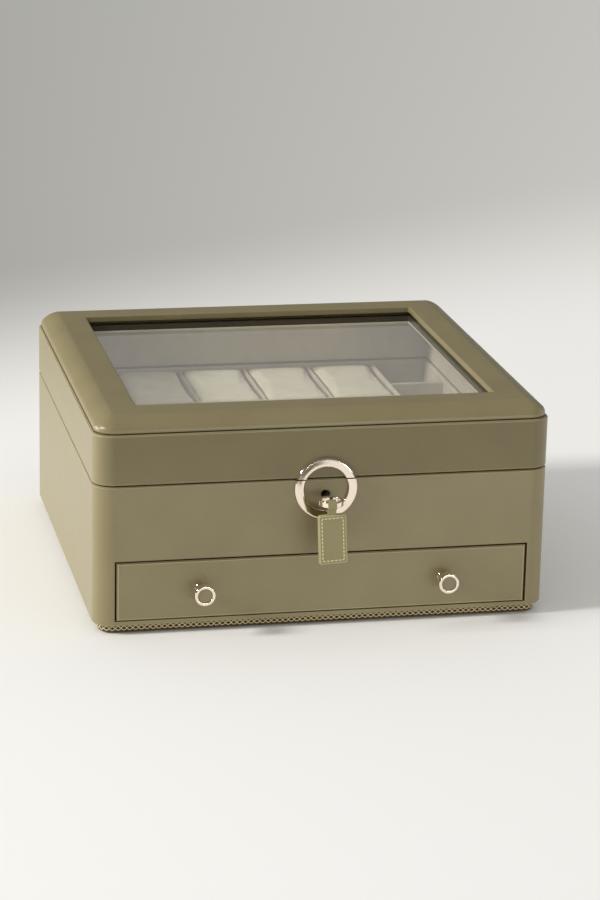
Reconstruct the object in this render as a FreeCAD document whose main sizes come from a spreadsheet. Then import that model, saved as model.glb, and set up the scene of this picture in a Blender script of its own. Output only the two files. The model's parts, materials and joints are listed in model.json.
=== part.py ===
"""Lockable watch and jewellery box with a glazed lid and one drawer.

Millimetres. Origin at the centre of the felt underside, +X to the right,
the front faces -Y, +Z up. The lid is shut, the drawer is in, the lock is
open and the key, with its leather tag, is in the lock.
"""
import FreeCAD
import Part
import Sketcher
import math
import os

DRIVING_SIZES = {
    # case
    "body_width": 300.0,
    "body_depth": 294.0,
    "body_height": 93.7,
    "corner_round": 13.0,
    "side_wall": 10.0,
    "front_wall": 12.0,
    "back_wall": 10.0,
    "leather_edge": 0.8,
    "base_board": 3.1,
    "overcut": 1.0,
    # plinth
    "felt_thick": 1.0,
    "felt_inset": 7.0,
    "plinth_height": 5.2,
    "plinth_inset": 4.7,
    "tape_thick": 0.6,
    "tape_margin": 0.2,
    # lid
    "parting_gap": 0.8,
    "band_height": 33.2,
    "groove_height": 0.8,
    "groove_depth": 2.6,
    "cap_inset": 1.5,
    "cap_height": 10.0,
    "cap_round": 12.1,
    "cap_upright": 1.0,
    "crease_angle": 80.0,
    "frame_side": 31.3,
    "frame_end": 31.9,
    "window_lip": 3.8,
    "glass_rebate": 6.0,
    "glass_thick": 3.0,
    "glass_play": 0.4,
    "lining_thick": 1.5,
    "lining_clear": 0.4,
    # drawer
    "stile_width": 13.2,
    "opening_height": 40.7,
    "shelf_thick": 4.0,
    "drawer_gap_side": 1.2,
    "drawer_gap_top": 1.3,
    "drawer_gap_low": 0.3,
    "runner_inset": 0.6,
    "drawer_edge": 1.0,
    "drawer_wall": 7.0,
    "drawer_wall_height": 35.4,
    "drawer_back_height": 34.0,
    "drawer_back_room": 29.0,
    "drawer_bottom_thick": 3.0,
    "drawer_bottom_rise": 1.6,
    "drawer_groove": 3.0,
    "groove_play": 0.1,
    "runner_play": 0.6,
    "runner_height": 20.0,
    "closing_play": 0.4,
    "drawer_travel": 180.0,
    "stop_play": 0.5,
    "stop_drop": 3.7,
    "stop_thick": 6.0,
    "stop_width": 200.0,
    "tray_wall": 1.5,
    "tray_play": 0.3,
    "tray_drop": 1.0,
    "drawer_divider_place": 43.0,
    # knobs
    "knob_spread": 161.0,
    "knob_height": 29.5,
    "knob_radius": 6.75,
    "knob_reach": 15.5,
    "knob_disc": 4.8,
    "knob_stem": 3.0,
    "knob_foot": 4.0,
    "knob_rim": 2.0,
    "knob_recess": 0.9,
    "inset_proud": 0.3,
    "knob_screw_radius": 1.9,
    "knob_screw_grip": 8.0,
    "knob_screw_head": 3.6,
    "knob_screw_sink": 2.6,
    # upper tray
    "liner_thick": 3.5,
    "liner_drop": 0.4,
    "pad_thick": 2.5,
    "well_width": 38.5,
    "divider_thick": 3.0,
    "divider_drop": 1.9,
    "small_divider_thick": 2.5,
    "cell_divider_thick": 1.2,
    "cell_divider_edge": 0.3,
    "cell_length": 84.5,
    "roll_bay_length": 84.5,
    "roll_count": 6,
    "roll_drop": 7.9,
    "roll_play": 0.6,
    "well_rear_length": 54.25,
    "well_front_length": 98.25,
    "board_edge": 0.9,
    # watch pillows
    "pillow_play": 0.3,
    "pillow_rise": 0.1,
    "pillow_draw": 2.0,
    # lock
    "lock_drop": 10.3,
    "plug_radius": 3.0,
    "plug_sink": 2.0,
    "plug_flange": 4.2,
    "plug_tail": 2.4,
    "turn_play": 0.06,
    "case_width": 36.0,
    "case_drop": 21.1,
    "case_thick": 6.1,
    "case_setback": 3.7,
    "case_wall": 1.0,
    "mortise_play": 0.1,
    "selvedge_width": 44.0,
    "selvedge_depth": 9.0,
    "selvedge_thick": 1.2,
    "selvedge_margin": 1.0,
    "hook_inner": 13.3,
    "hook_outer": 15.6,
    "hook_thick": 1.6,
    "hook_lead": 73.0,
    "hook_trail": 131.0,
    "hook_arm_angle": 124.4,
    "hook_arm_width": 4.0,
    "hook_hub": 4.5,
    "slot_low": 13.4,
    "slot_high": 3.6,
    "slot_play": 0.6,
    "clip_radius": 3.8,
    "clip_thick": 0.6,
    # key and tag
    "key_radius": 1.6,
    "key_play": 0.06,
    "key_bit_reach": 2.5,
    "key_bit_thick": 1.2,
    "bow_reach": 17.0,
    "bow_outer": 7.9,
    "bow_inner": 6.0,
    "bow_height": 3.8,
    "strap_width": 5.7,
    "strap_thick": 0.8,
    "strap_play": 0.28,
    "strap_tuck": 3.0,
    "tag_width": 18.8,
    "tag_length": 33.5,
    "tag_thick": 3.2,
    "tag_drop": 5.9,
    "tag_aside": 1.1,
    "tag_corner": 2.0,
    "tag_lean": 3.0,
    # ring plate
    "ring_drop": 5.9,
    "ring_outer": 20.5,
    "ring_inner": 14.6,
    "ring_thick": 2.5,
    "ring_bevel": 0.6,
    # hinges
    "hinge_inset": 60.0,
    "hinge_length": 36.0,
    "hinge_middle": 12.0,
    "hinge_gap": 0.3,
    "hinge_stand": 0.5,
    "leaf_thick": 1.2,
    "leaf_depth": 9.5,
    "knuckle_radius": 2.2,
    "pin_radius": 1.0,
    "pin_play": 0.05,
    # screws
    "screw_radius": 1.2,
    "screw_head": 2.2,
    "screw_sink": 1.0,
    "screw_length": 9.0,
    "screw_spread": 12.0,
}


class Length:
    """A size: its number, and the sheet expression that works it out."""

    def __init__(self, number, text):
        self.number = number
        self.text = text

    def joined(self, sign, other, number):
        return Length(number, f"({self.text} {sign} {other.text})")

    def __add__(self, other):
        other = length(other)
        return self.joined("+", other, self.number + other.number)

    def __radd__(self, other):
        return length(other) + self

    def __sub__(self, other):
        other = length(other)
        return self.joined("-", other, self.number - other.number)

    def __rsub__(self, other):
        return length(other) - self

    def __mul__(self, other):
        other = length(other)
        return self.joined("*", other, self.number * other.number)

    def __rmul__(self, other):
        return length(other) * self

    def __truediv__(self, other):
        other = length(other)
        return self.joined("/", other, self.number / other.number)

    def __neg__(self):
        return length(0) - self


def length(value):
    """Takes a Length or a plain number and gives a Length."""
    if isinstance(value, Length):
        return value
    return Length(float(value), f"{float(value):.9g}")


class Sheet:
    """The spreadsheet of driving sizes, each read by its alias."""

    def __init__(self, document, table):
        self.cells = document.addObject("Spreadsheet::Sheet", "Sizes")
        self.table = table
        for row, (alias, number) in enumerate(table.items(), start=1):
            self.cells.set(f"A{row}", alias)
            self.cells.set(f"B{row}", str(number))
            self.cells.setAlias(f"B{row}", alias)

    def __getattr__(self, alias):
        if alias not in self.table:
            raise AttributeError(alias)
        return Length(float(self.table[alias]), f"Sizes.{alias}")


doc = FreeCAD.newDocument("watch_box")
s = Sheet(doc, DRIVING_SIZES)
doc.recompute()
nodes = []

# Heights, from the floor up.
plinth_top = s.felt_thick + s.plinth_height
floor_top = plinth_top + s.base_board
opening_top = floor_top + s.opening_height
tray_low = opening_top + s.shelf_thick
pad_top = tray_low + s.pad_thick
rim = plinth_top + s.body_height
liner_top = rim - s.liner_drop
lid_low = rim + s.parting_gap
band_top = lid_low + s.band_height
cap_low = band_top + s.groove_height
cap_top = cap_low + s.cap_height
glass_top = cap_top - s.window_lip
glass_low = glass_top - s.glass_thick
divider_top = rim - s.divider_drop
lock_z = rim - s.lock_drop

# Plan places, from the middle out.
side_x = s.body_width / 2
front_y = -s.body_depth / 2
back_y = s.body_depth / 2
well_x = side_x - s.side_wall
well_front = front_y + s.front_wall
well_back = back_y - s.back_wall
liner_x = well_x - s.liner_thick
liner_front_y = well_front + s.liner_thick
liner_back_y = well_back - s.liner_thick
divider_x = liner_x - s.well_width
bay_x = divider_x - s.divider_thick
cells_front = liner_back_y - s.cell_length
rolls_back = liner_front_y + s.roll_bay_length
window_x = side_x - s.frame_side
window_y = back_y - s.frame_end
opening_x = side_x - s.stile_width
drawer_x = opening_x - s.drawer_gap_side
runner_x = drawer_x - s.runner_inset
drawer_side_x = runner_x - s.runner_play
drawer_inner_x = drawer_side_x - s.drawer_wall
drawer_low = floor_top + s.drawer_gap_low
drawer_top = opening_top - s.drawer_gap_top
drawer_back_y = well_back - s.drawer_back_room
drawer_back_front = drawer_back_y - s.drawer_wall
tray_bottom = drawer_low + s.drawer_bottom_rise + s.drawer_bottom_thick


def bind(thing, name, value):
    """Ties a property of a document object to the sheet."""
    thing.setExpression(name, length(value).text)


def place(thing, x, y, z):
    """Puts an object at x, y, z and ties the place to the sheet."""
    point = [length(x), length(y), length(z)]
    base = FreeCAD.Vector(*[part.number for part in point])
    thing.Placement = FreeCAD.Placement(base, thing.Placement.Rotation)
    for axis, part in zip("xyz", point):
        bind(thing, f"Placement.Base.{axis}", part)


def keep(thing, label):
    """Names an object as one of the box's pieces."""
    thing.Label = label
    nodes.append(thing)
    return thing


def block(name, x, y, z):
    """A plain block between low and high places on each axis."""
    solid = doc.addObject("Part::Box", name)
    for side, (low, high) in zip(("Length", "Width", "Height"), (x, y, z)):
        bind(solid, side, length(high) - low)
    place(solid, x[0], y[0], z[0])
    return solid


TURN_TO = {
    "X": FreeCAD.Rotation(FreeCAD.Vector(0, 1, 0), 90),
    "Y": FreeCAD.Rotation(FreeCAD.Vector(1, 0, 0), -90),
    "Z": FreeCAD.Rotation(),
    "-Y": FreeCAD.Rotation(FreeCAD.Vector(1, 0, 0), 90),
    "-Z": FreeCAD.Rotation(FreeCAD.Vector(1, 0, 0), 180),
}


def rod(name, radius, run, start, axis="Z"):
    """A round bar from its start point, along an axis."""
    solid = doc.addObject("Part::Cylinder", name)
    bind(solid, "Radius", radius)
    bind(solid, "Height", run)
    solid.Placement = FreeCAD.Placement(FreeCAD.Vector(), TURN_TO[axis])
    place(solid, *start)
    return solid


SIDES = 8


def peg(name, radius, run, start, axis="Z"):
    """An eight-sided bar for a screw or a drive, or for the hole that it fills."""
    solid = doc.addObject("Part::Prism", name)
    solid.Polygon = SIDES
    bind(solid, "Circumradius", radius)
    bind(solid, "Height", run)
    solid.Placement = FreeCAD.Placement(FreeCAD.Vector(), TURN_TO[axis])
    place(solid, *start)
    return solid


def joined(name, pieces):
    """One solid from touching or overlapping pieces."""
    solid = doc.addObject("Part::MultiFuse", name)
    solid.Shapes = pieces
    solid.Refine = True
    return solid


def cut(name, base, tools):
    """A solid with one or more tools taken away."""
    solid = doc.addObject("Part::Cut", name)
    solid.Base = base
    solid.Tool = tools[0] if len(tools) == 1 else joined(name + "_tools", tools)
    solid.Refine = True
    return solid


def grouped(name, pieces):
    """Several separate solids that make one piece set."""
    group = doc.addObject("Part::Compound", name)
    group.Links = pieces
    return group


def new_body(name):
    return doc.addObject("PartDesign::Body", name)


def new_sketch(body, name, plane, offset=0):
    """A sketch on one of the body's own planes, moved along its normal."""
    sketch = body.newObject("Sketcher::SketchObject", name)
    origin = next(p for p in body.Origin.OriginFeatures if p.Role == plane)
    sketch.AttachmentSupport = [(origin, "")]
    sketch.MapMode = "FlatFace"
    bind(sketch, "AttachmentOffset.Base.z", offset)
    return sketch


def rule(sketch, value, kind, *where):
    """Adds a dimension to a sketch and ties it to the sheet."""
    value = length(value)
    index = sketch.addConstraint(Sketcher.Constraint(kind, *where, value.number))
    sketch.setExpression(f"Constraints[{index}]", value.text)


def polygon(sketch, corners):
    """A closed outline through corners, each fixed in both directions."""
    corners = [(length(a), length(b)) for a, b in corners]
    points = [FreeCAD.Vector(a.number, b.number, 0) for a, b in corners]
    first = sketch.GeometryCount
    for i, point in enumerate(points):
        sketch.addGeometry(Part.LineSegment(point, points[(i + 1) % len(points)]))
    for i, (across, along) in enumerate(corners):
        line = first + i
        after = first + (i + 1) % len(points)
        sketch.addConstraint(Sketcher.Constraint("Coincident", line, 2, after, 1))
        rule(sketch, across, "DistanceX", -1, 1, line, 1)
        rule(sketch, along, "DistanceY", -1, 1, line, 1)


def rectangle(sketch, x, y):
    polygon(sketch, [(x[0], y[0]), (x[1], y[0]), (x[1], y[1]), (x[0], y[1])])


def ring(sketch, across, along, radius):
    """A circle with its centre fixed in both directions."""
    centre = FreeCAD.Vector(length(across).number, length(along).number, 0)
    normal = FreeCAD.Vector(0, 0, 1)
    circle = Part.Circle(centre, normal, length(radius).number)
    index = sketch.addGeometry(circle)
    rule(sketch, radius, "Radius", index)
    rule(sketch, across, "DistanceX", -1, 1, index, 3)
    rule(sketch, along, "DistanceY", -1, 1, index, 3)


def rounded(sketch, x, y, radius):
    """A rectangle with four tangent round corners."""
    x = [length(v) for v in x]
    y = [length(v) for v in y]
    radius = length(radius)
    r = radius.number
    low_x, high_x = x[0].number, x[1].number
    low_y, high_y = y[0].number, y[1].number
    centres = [(low_x + r, low_y + r), (high_x - r, low_y + r),
               (high_x - r, high_y - r), (low_x + r, high_y - r)]
    first = sketch.GeometryCount
    up = FreeCAD.Vector(0, 0, 1)
    for i, (cx, cy) in enumerate(centres):
        circle = Part.Circle(FreeCAD.Vector(cx, cy, 0), up, r)
        start = math.pi + i * math.pi / 2
        sketch.addGeometry(Part.ArcOfCircle(circle, start, start + math.pi / 2))
    for i, (cx, cy) in enumerate(centres):
        end = math.pi + (i + 1) * math.pi / 2
        nx, ny = centres[(i + 1) % 4]
        step = FreeCAD.Vector(r * math.cos(end), r * math.sin(end), 0)
        sketch.addGeometry(Part.LineSegment(FreeCAD.Vector(cx, cy, 0) + step,
                                            FreeCAD.Vector(nx, ny, 0) + step))
    for i in range(4):
        arc, line, after = first + i, first + 4 + i, first + (i + 1) % 4
        sketch.addConstraint(Sketcher.Constraint("Tangent", arc, 2, line, 1))
        sketch.addConstraint(Sketcher.Constraint("Tangent", line, 2, after, 1))
        level = "Horizontal" if i % 2 == 0 else "Vertical"
        sketch.addConstraint(Sketcher.Constraint(level, line))
        if i:
            sketch.addConstraint(Sketcher.Constraint("Equal", first, arc))
    rule(sketch, radius, "Radius", first)
    rule(sketch, x[0] + radius, "DistanceX", -1, 1, first, 3)
    rule(sketch, y[0] + radius, "DistanceY", -1, 1, first, 3)
    rule(sketch, x[1] - x[0] - 2 * radius, "DistanceX", first, 3, first + 1, 3)
    rule(sketch, y[1] - y[0] - 2 * radius, "DistanceY", first, 3, first + 3, 3)


def volume_of(body):
    doc.recompute()
    return body.Shape.Volume if not body.Shape.isNull() else 0.0


def pad(body, sketch, run):
    """Adds the sketch's area along its plane's normal."""
    before = volume_of(body)
    feature = body.newObject("PartDesign::Pad", sketch.Name + "_pad")
    feature.Profile = sketch
    bind(feature, "Length", run)
    if volume_of(body) <= before:
        raise ValueError(feature.Name + " adds nothing")
    return feature


def pocket(body, sketch, run, with_normal=False):
    """Takes the sketch's area away, against its plane's normal."""
    before = volume_of(body)
    feature = body.newObject("PartDesign::Pocket", sketch.Name + "_pocket")
    feature.Profile = sketch
    feature.Reversed = with_normal
    bind(feature, "Length", run)
    if volume_of(body) >= before:
        raise ValueError(feature.Name + " cuts nothing")
    return feature


def loft(body, sketches):
    """Adds a solid with straight runs through sketches, the first to the last."""
    feature = body.newObject("PartDesign::AdditiveLoft", body.Name + "_loft")
    feature.Profile = sketches[0]
    feature.Sections = sketches[1:]
    feature.Ruled = True
    doc.recompute()
    return feature


def bevel(body, feature, size, chosen):
    """Bevels the feature's edges for which chosen(edge) is true."""
    doc.recompute()
    edges = feature.Shape.Edges
    names = [f"Edge{i + 1}" for i, edge in enumerate(edges) if chosen(edge)]
    chamfer = body.newObject("PartDesign::Chamfer", feature.Name + "_bevel")
    chamfer.Base = (feature, names)
    bind(chamfer, "Size", size)
    doc.recompute()
    return chamfer


def all_at(axis, value):
    """Tells whether an edge lies wholly at one place on an axis."""
    number = length(value).number

    def test(edge):
        box = edge.BoundBox
        low = getattr(box, axis + "Min")
        high = getattr(box, axis + "Max")
        return abs(low - number) < 1e-4 and abs(high - number) < 1e-4
    return test


def board(name, x, y, z, edge):
    """A covered board whose top edges are bevelled."""
    body = new_body(name)
    sketch = new_sketch(body, name + "_plan", "XY_Plane", z[0])
    rectangle(sketch, x, y)
    feature = pad(body, sketch, length(z[1]) - z[0])
    bevel(body, feature, edge, all_at("Z", z[1]))
    return body


def slab(name, inset, z):
    """A rounded plate that follows the case outline at an inset."""
    body = new_body(name)
    sketch = new_sketch(body, name + "_plan", "XY_Plane", z[0])
    rounded(sketch, (-side_x + inset, side_x - inset),
            (front_y + inset, back_y - inset), s.corner_round - inset)
    pad(body, sketch, length(z[1]) - z[0])
    return body


def screw(name, x, y, z, axis):
    """A flat-headed screw, its head's top at x, y, z and its shank along axis."""
    head = peg(name + "_head", s.screw_head, s.screw_sink, (x, y, z), axis)
    shank = peg(name + "_shank", s.screw_radius, s.screw_length, (x, y, z), axis)
    return joined(name, [head, shank])


# Screw places: two to each hinge leaf, and two at each end of the lock plates.
hinge_centres = [s.hinge_inset - side_x, side_x - s.hinge_inset]
screw_row_y = back_y - s.leaf_depth / 2
hinge_screw_x = [c + sign * s.screw_spread for c in hinge_centres for sign in (-1, 1)]
lock_y = front_y + s.case_setback + s.case_thick / 2
selvedge_x = s.selvedge_width / 2
selvedge_y = (lock_y - s.selvedge_depth / 2, lock_y + s.selvedge_depth / 2)
plate_screw_x = selvedge_x - s.screw_head - s.selvedge_margin
hinge_y = back_y + s.hinge_stand + s.knuckle_radius
hinge_z = rim + s.parting_gap / 2
hook_y = (lock_y - s.hook_thick / 2, lock_y + s.hook_thick / 2)
slot_y = (hook_y[0] - s.slot_play, hook_y[1] + s.slot_play)
slot_x = (-s.slot_low, -s.slot_high)
case_y = (lock_y - s.case_thick / 2, lock_y + s.case_thick / 2)
case_x = s.case_width / 2
case_low = rim - s.selvedge_thick - s.case_drop
plug_front = front_y + s.plug_sink


def leaf_recess(name, low, high):
    """Two shallow mortises for the hinge leaves, in a back wall."""
    half = s.hinge_length / 2
    tools = [block(f"{name}_{i}", (c - half, c + half),
                   (back_y - s.leaf_depth, back_y + s.overcut), (low, high))
             for i, c in enumerate(hinge_centres)]
    return tools


def base_carcass():
    """The leather-wrapped case: four walls in one, open above and below."""
    body = new_body("carcass_shell")
    outline = new_sketch(body, "carcass_outline", "XY_Plane", plinth_top)
    rounded(outline, (-side_x, side_x), (front_y, back_y), s.corner_round)
    walls = pad(body, outline, s.body_height)
    at_rim, at_foot = all_at("Z", rim), all_at("Z", plinth_top)
    bevel(body, walls, s.leather_edge, lambda e: at_rim(e) or at_foot(e))
    well = new_sketch(body, "carcass_well", "XY_Plane", rim)
    rectangle(well, (-well_x, well_x), (well_front, well_back))
    pocket(body, well, s.body_height)
    mouth = new_sketch(body, "carcass_mouth", "XZ_Plane", -front_y)
    rectangle(mouth, (-opening_x, opening_x), (floor_top, opening_top))
    pocket(body, mouth, s.front_wall)
    keyhole = new_sketch(body, "carcass_keyhole", "XZ_Plane", -front_y)
    ring(keyhole, 0, lock_z, s.plug_radius + s.turn_play)
    pocket(body, keyhole, s.case_setback + s.case_thick / 2)
    play = s.mortise_play
    tools = leaf_recess("carcass_leaf", rim - s.leaf_thick, rim + s.overcut)
    tools.append(block("carcass_lock_mortise", (-case_x - play, case_x + play),
                       (case_y[0] - play, case_y[1] + play),
                       (case_low - play, rim + s.overcut)))
    tools.append(block("carcass_selvedge_mortise",
                       (-selvedge_x - play, selvedge_x + play),
                       (selvedge_y[0] - play, selvedge_y[1] + play),
                       (rim - s.selvedge_thick, rim + s.overcut)))
    for i, x in enumerate(hinge_screw_x):
        tools.append(peg(f"carcass_hinge_pilot_{i}", s.screw_radius, s.screw_length,
                         (x, screw_row_y, rim), "-Z"))
    for i, sign in enumerate((-1, 1)):
        tools.append(peg(f"carcass_lock_pilot_{i}", s.screw_radius, s.screw_length,
                         (sign * plate_screw_x, lock_y, rim), "-Z"))
    return keep(cut("carcass", body, tools), "base_carcass")


def base_boards():
    """The bottom board, the drawer shelf and the padded tray floor."""
    room_x, room_y = (-well_x, well_x), (well_front, well_back)
    keep(block("bottom_board", room_x, room_y, (plinth_top, floor_top)), "base_floor")
    keep(block("shelf_board", room_x, room_y, (opening_top, tray_low)), "drawer_shelf")
    keep(block("floor_pad", (-liner_x, liner_x), (liner_front_y, liner_back_y),
               (tray_low, pad_top)), "tray_floor_pad")


def plinth():
    """The set-back foot: felt, board and the woven tape round it."""
    keep(slab("felt_sheet", s.felt_inset, (0, s.felt_thick)), "underside_felt")
    keep(slab("plinth_slab", s.plinth_inset, (s.felt_thick, plinth_top)), "plinth_board")
    tape = new_body("tape_band")
    low = s.felt_thick + s.tape_margin
    sketch = new_sketch(tape, "tape_plan", "XY_Plane", low)
    for inset in (s.plinth_inset - s.tape_thick, s.plinth_inset):
        rounded(sketch, (-side_x + inset, side_x - inset),
                (front_y + inset, back_y - inset), s.corner_round - inset)
    pad(tape, sketch, s.plinth_height - 2 * s.tape_margin)
    keep(tape, "plinth_tape")


def drawer_runners():
    """Guides beside the drawer, and the strip that stops it coming out."""
    guides = []
    for name, inner, outer in (("left", -well_x, -runner_x), ("right", runner_x, well_x)):
        guides.append(block("guide_" + name, (inner, outer),
                            (well_front + s.closing_play, well_back),
                            (floor_top, floor_top + s.runner_height)))
    keep(grouped("guide_pair", guides), "drawer_guides")
    stop_back = drawer_back_front - s.drawer_travel - s.stop_play
    keep(block("stop_strip", (-s.stop_width / 2, s.stop_width / 2),
               (stop_back - s.stop_thick, stop_back),
               (opening_top - s.stop_drop, opening_top)), "drawer_stop")


def tray_liners():
    """Covered boards round the tray, against the case's walls."""
    across, along = (-liner_x, liner_x), (well_front, well_back)
    places = {"liner_left": ((-well_x, -liner_x), along),
              "liner_right": ((liner_x, well_x), along),
              "liner_front": (across, (well_front, liner_front_y)),
              "liner_back": (across, (liner_back_y, well_back))}
    for label, (x, y) in places.items():
        keep(board(label + "_board", x, y, (tray_low, liner_top), s.board_edge), label)


def tray_dividers():
    """The long and cross dividers that make the bays, wells and cells."""
    room = (liner_front_y, liner_back_y)
    for side, x in (("left", (-divider_x, -bay_x)), ("right", (bay_x, divider_x))):
        label = "divider_" + side
        keep(board(label + "_board", x, room, (pad_top, divider_top), s.board_edge), label)
    cross = {"divider_cross_rear": (cells_front - s.divider_thick, cells_front),
             "divider_cross_front": (rolls_back, rolls_back + s.divider_thick)}
    for label, y in cross.items():
        keep(board(label + "_board", (-bay_x, bay_x), y, (pad_top, divider_top),
                   s.board_edge), label)
    cells = [board(f"cell_board_{i}", x, (cells_front, liner_back_y),
                   (pad_top, divider_top), s.cell_divider_edge)
             for i, x in enumerate(cell_walls())]
    keep(grouped("cell_boards", cells), "cell_dividers")
    half = s.small_divider_thick / 2
    wells = []
    rear = liner_back_y - s.well_rear_length - half
    front = liner_front_y + s.well_front_length + half
    for i, y in enumerate((rear, front)):
        for side, x in (("left", (-liner_x, -divider_x)), ("right", (divider_x, liner_x))):
            wells.append(board(f"well_board_{side}_{i}", x, (y - half, y + half),
                               (pad_top, divider_top), s.board_edge))
    keep(grouped("well_boards", wells), "well_dividers")


CELLS = 4
cell_width = (2 * bay_x - (CELLS - 1) * s.cell_divider_thick) / CELLS


def cell_walls():
    """Where the thin boards between the watch cells stand."""
    pitch = cell_width + s.cell_divider_thick
    return [(i * pitch - s.cell_divider_thick - bay_x, i * pitch - bay_x)
            for i in range(1, CELLS)]


def ring_rolls():
    """A block of soft rolls side by side, with slots between for rings."""
    low = pad_top + s.tray_play
    x = (-bay_x + s.roll_play, bay_x - s.roll_play)
    front = liner_front_y + s.roll_play
    back = rolls_back - s.roll_play
    count = DRIVING_SIZES["roll_count"]
    radius = (back - front) / (2 * s.roll_count)
    centre_z = rim - s.roll_drop - radius
    pieces = [block("roll_bed", x, (front, back), (low, centre_z))]
    for i in range(count):
        centre_y = front + (2 * i + 1) * radius
        pieces.append(rod(f"roll_{i}", radius, x[1] - x[0], (x[0], centre_y, centre_z), "X"))
    keep(joined("roll_block", pieces), "ring_rolls")


CUSHION_CORNERS = 16


def cushion_corners(side, low, high):
    """Corners of a squarish oval, crowned on every side.

    The oval is the one whose sixth powers add to one: each place is the cube
    root of the cosine or sine of its turn, times the half width or half height.
    """
    middle, half_tall = (low + high) / 2, (high - low) / 2
    corners = []
    for i in range(CUSHION_CORNERS):
        turn = 2 * math.pi * i / CUSHION_CORNERS
        across, along = (math.copysign(abs(part) ** (1 / 3), part)
                         for part in (math.cos(turn), math.sin(turn)))
        corners.append((side * round(across, 4), middle + half_tall * round(along, 4)))
    return corners


def watch_pillow(number):
    """A crowned cushion whose ends draw in, lofted along its length."""
    label = f"pillow_{number}"
    body = new_body(label + "_cushion")
    half_long = s.cell_length / 2 - s.pillow_play
    width = cell_width - 2 * s.pillow_play
    tall = rim + s.pillow_rise - pad_top - s.tray_play
    sketches = []
    steps = (-1.0, -0.85, 0.0, 0.85, 1.0)
    for i, step in enumerate(steps):
        drawn = s.pillow_draw * round(step ** 6, 4)
        sketch = new_sketch(body, f"{label}_section_{i}", "XZ_Plane", half_long * step)
        side = width / 2 - drawn
        polygon(sketch, cushion_corners(side, drawn / 2, tall - drawn))
        sketches.append(sketch)
    loft(body, sketches)
    pitch = cell_width + s.cell_divider_thick
    centre_x = (number - 1) * pitch + cell_width / 2 - bay_x
    place(body, centre_x, liner_back_y - s.cell_length / 2, pad_top + s.tray_play)
    return keep(body, label)


def lid_band():
    """The lid's walls, with mortises for the hinges and the strike plate."""
    body = new_body("band_shell")
    outline = new_sketch(body, "band_outline", "XY_Plane", lid_low)
    rounded(outline, (-side_x, side_x), (front_y, back_y), s.corner_round)
    walls = pad(body, outline, s.band_height)
    low, high = all_at("Z", lid_low), all_at("Z", band_top)
    bevel(body, walls, s.leather_edge, lambda e: low(e) or high(e))
    well = new_sketch(body, "band_well", "XY_Plane", band_top)
    rectangle(well, (-well_x, well_x), (well_front, well_back))
    pocket(body, well, s.band_height)
    play = s.mortise_play
    sweep = s.hook_outer + s.slot_play
    lead = s.hook_outer * math.cos(math.radians(s.hook_lead.number)) + s.slot_play
    tools = leaf_recess("band_leaf", lid_low - s.overcut, lid_low + s.leaf_thick)
    tools.append(block("band_strike_mortise", (-selvedge_x - play, selvedge_x + play),
                       (selvedge_y[0] - play, selvedge_y[1] + play),
                       (lid_low - s.overcut, lid_low + s.selvedge_thick)))
    tools.append(block("band_hook_pocket", (-s.slot_low - s.slot_play, lead), slot_y,
                       (lid_low, lock_z + sweep)))
    for i, x in enumerate(hinge_screw_x):
        tools.append(peg(f"band_hinge_pilot_{i}", s.screw_radius, s.screw_length,
                         (x, screw_row_y, lid_low)))
    for i, sign in enumerate((-1, 1)):
        tools.append(peg(f"band_strike_pilot_{i}", s.screw_radius, s.screw_length,
                         (sign * plate_screw_x, lock_y, lid_low)))
    return keep(cut("band", body, tools), "lid_band")


def lid_cap_frame():
    """The cap: a shoulder that leans in to a crease round a flat window frame."""
    body = new_body("cap_frame")
    foot = new_sketch(body, "cap_foot", "XY_Plane", band_top)
    inset = s.cap_inset + s.groove_depth
    rounded(foot, (-side_x + inset, side_x - inset),
            (front_y + inset, back_y - inset), s.corner_round - inset)
    pad(body, foot, s.groove_height)
    outline = new_sketch(body, "cap_outline", "XY_Plane", cap_low)
    outer_x, outer_y = side_x - s.cap_inset, back_y - s.cap_inset
    rounded(outline, (-outer_x, outer_x), (-outer_y, outer_y), s.corner_round)
    pad(body, outline, s.cap_height)
    shoulder = new_sketch(body, "cap_shoulder", "XZ_Plane", outer_y - s.corner_round)
    shoulder_section(shoulder, -outer_x)
    before = volume_of(body)
    sweep = body.newObject("PartDesign::SubtractivePipe", "cap_shoulder_sweep")
    sweep.Profile = shoulder
    sweep.Spine = (outline, [f"Edge{i}" for i in range(1, 9)])
    if volume_of(body) >= before:
        raise ValueError("the shoulder sweep cuts nothing")
    window = new_sketch(body, "cap_window", "XY_Plane", cap_top)
    rectangle(window, (-window_x, window_x), (-window_y, window_y))
    pocket(body, window, cap_top - band_top)
    rebate = new_sketch(body, "cap_rebate", "XY_Plane", glass_top)
    edge_x, edge_y = window_x + s.glass_rebate, window_y + s.glass_rebate
    rectangle(rebate, (-edge_x, edge_x), (-edge_y, edge_y))
    pocket(body, rebate, glass_top - band_top)
    return keep(body, "lid_cap_frame")


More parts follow.
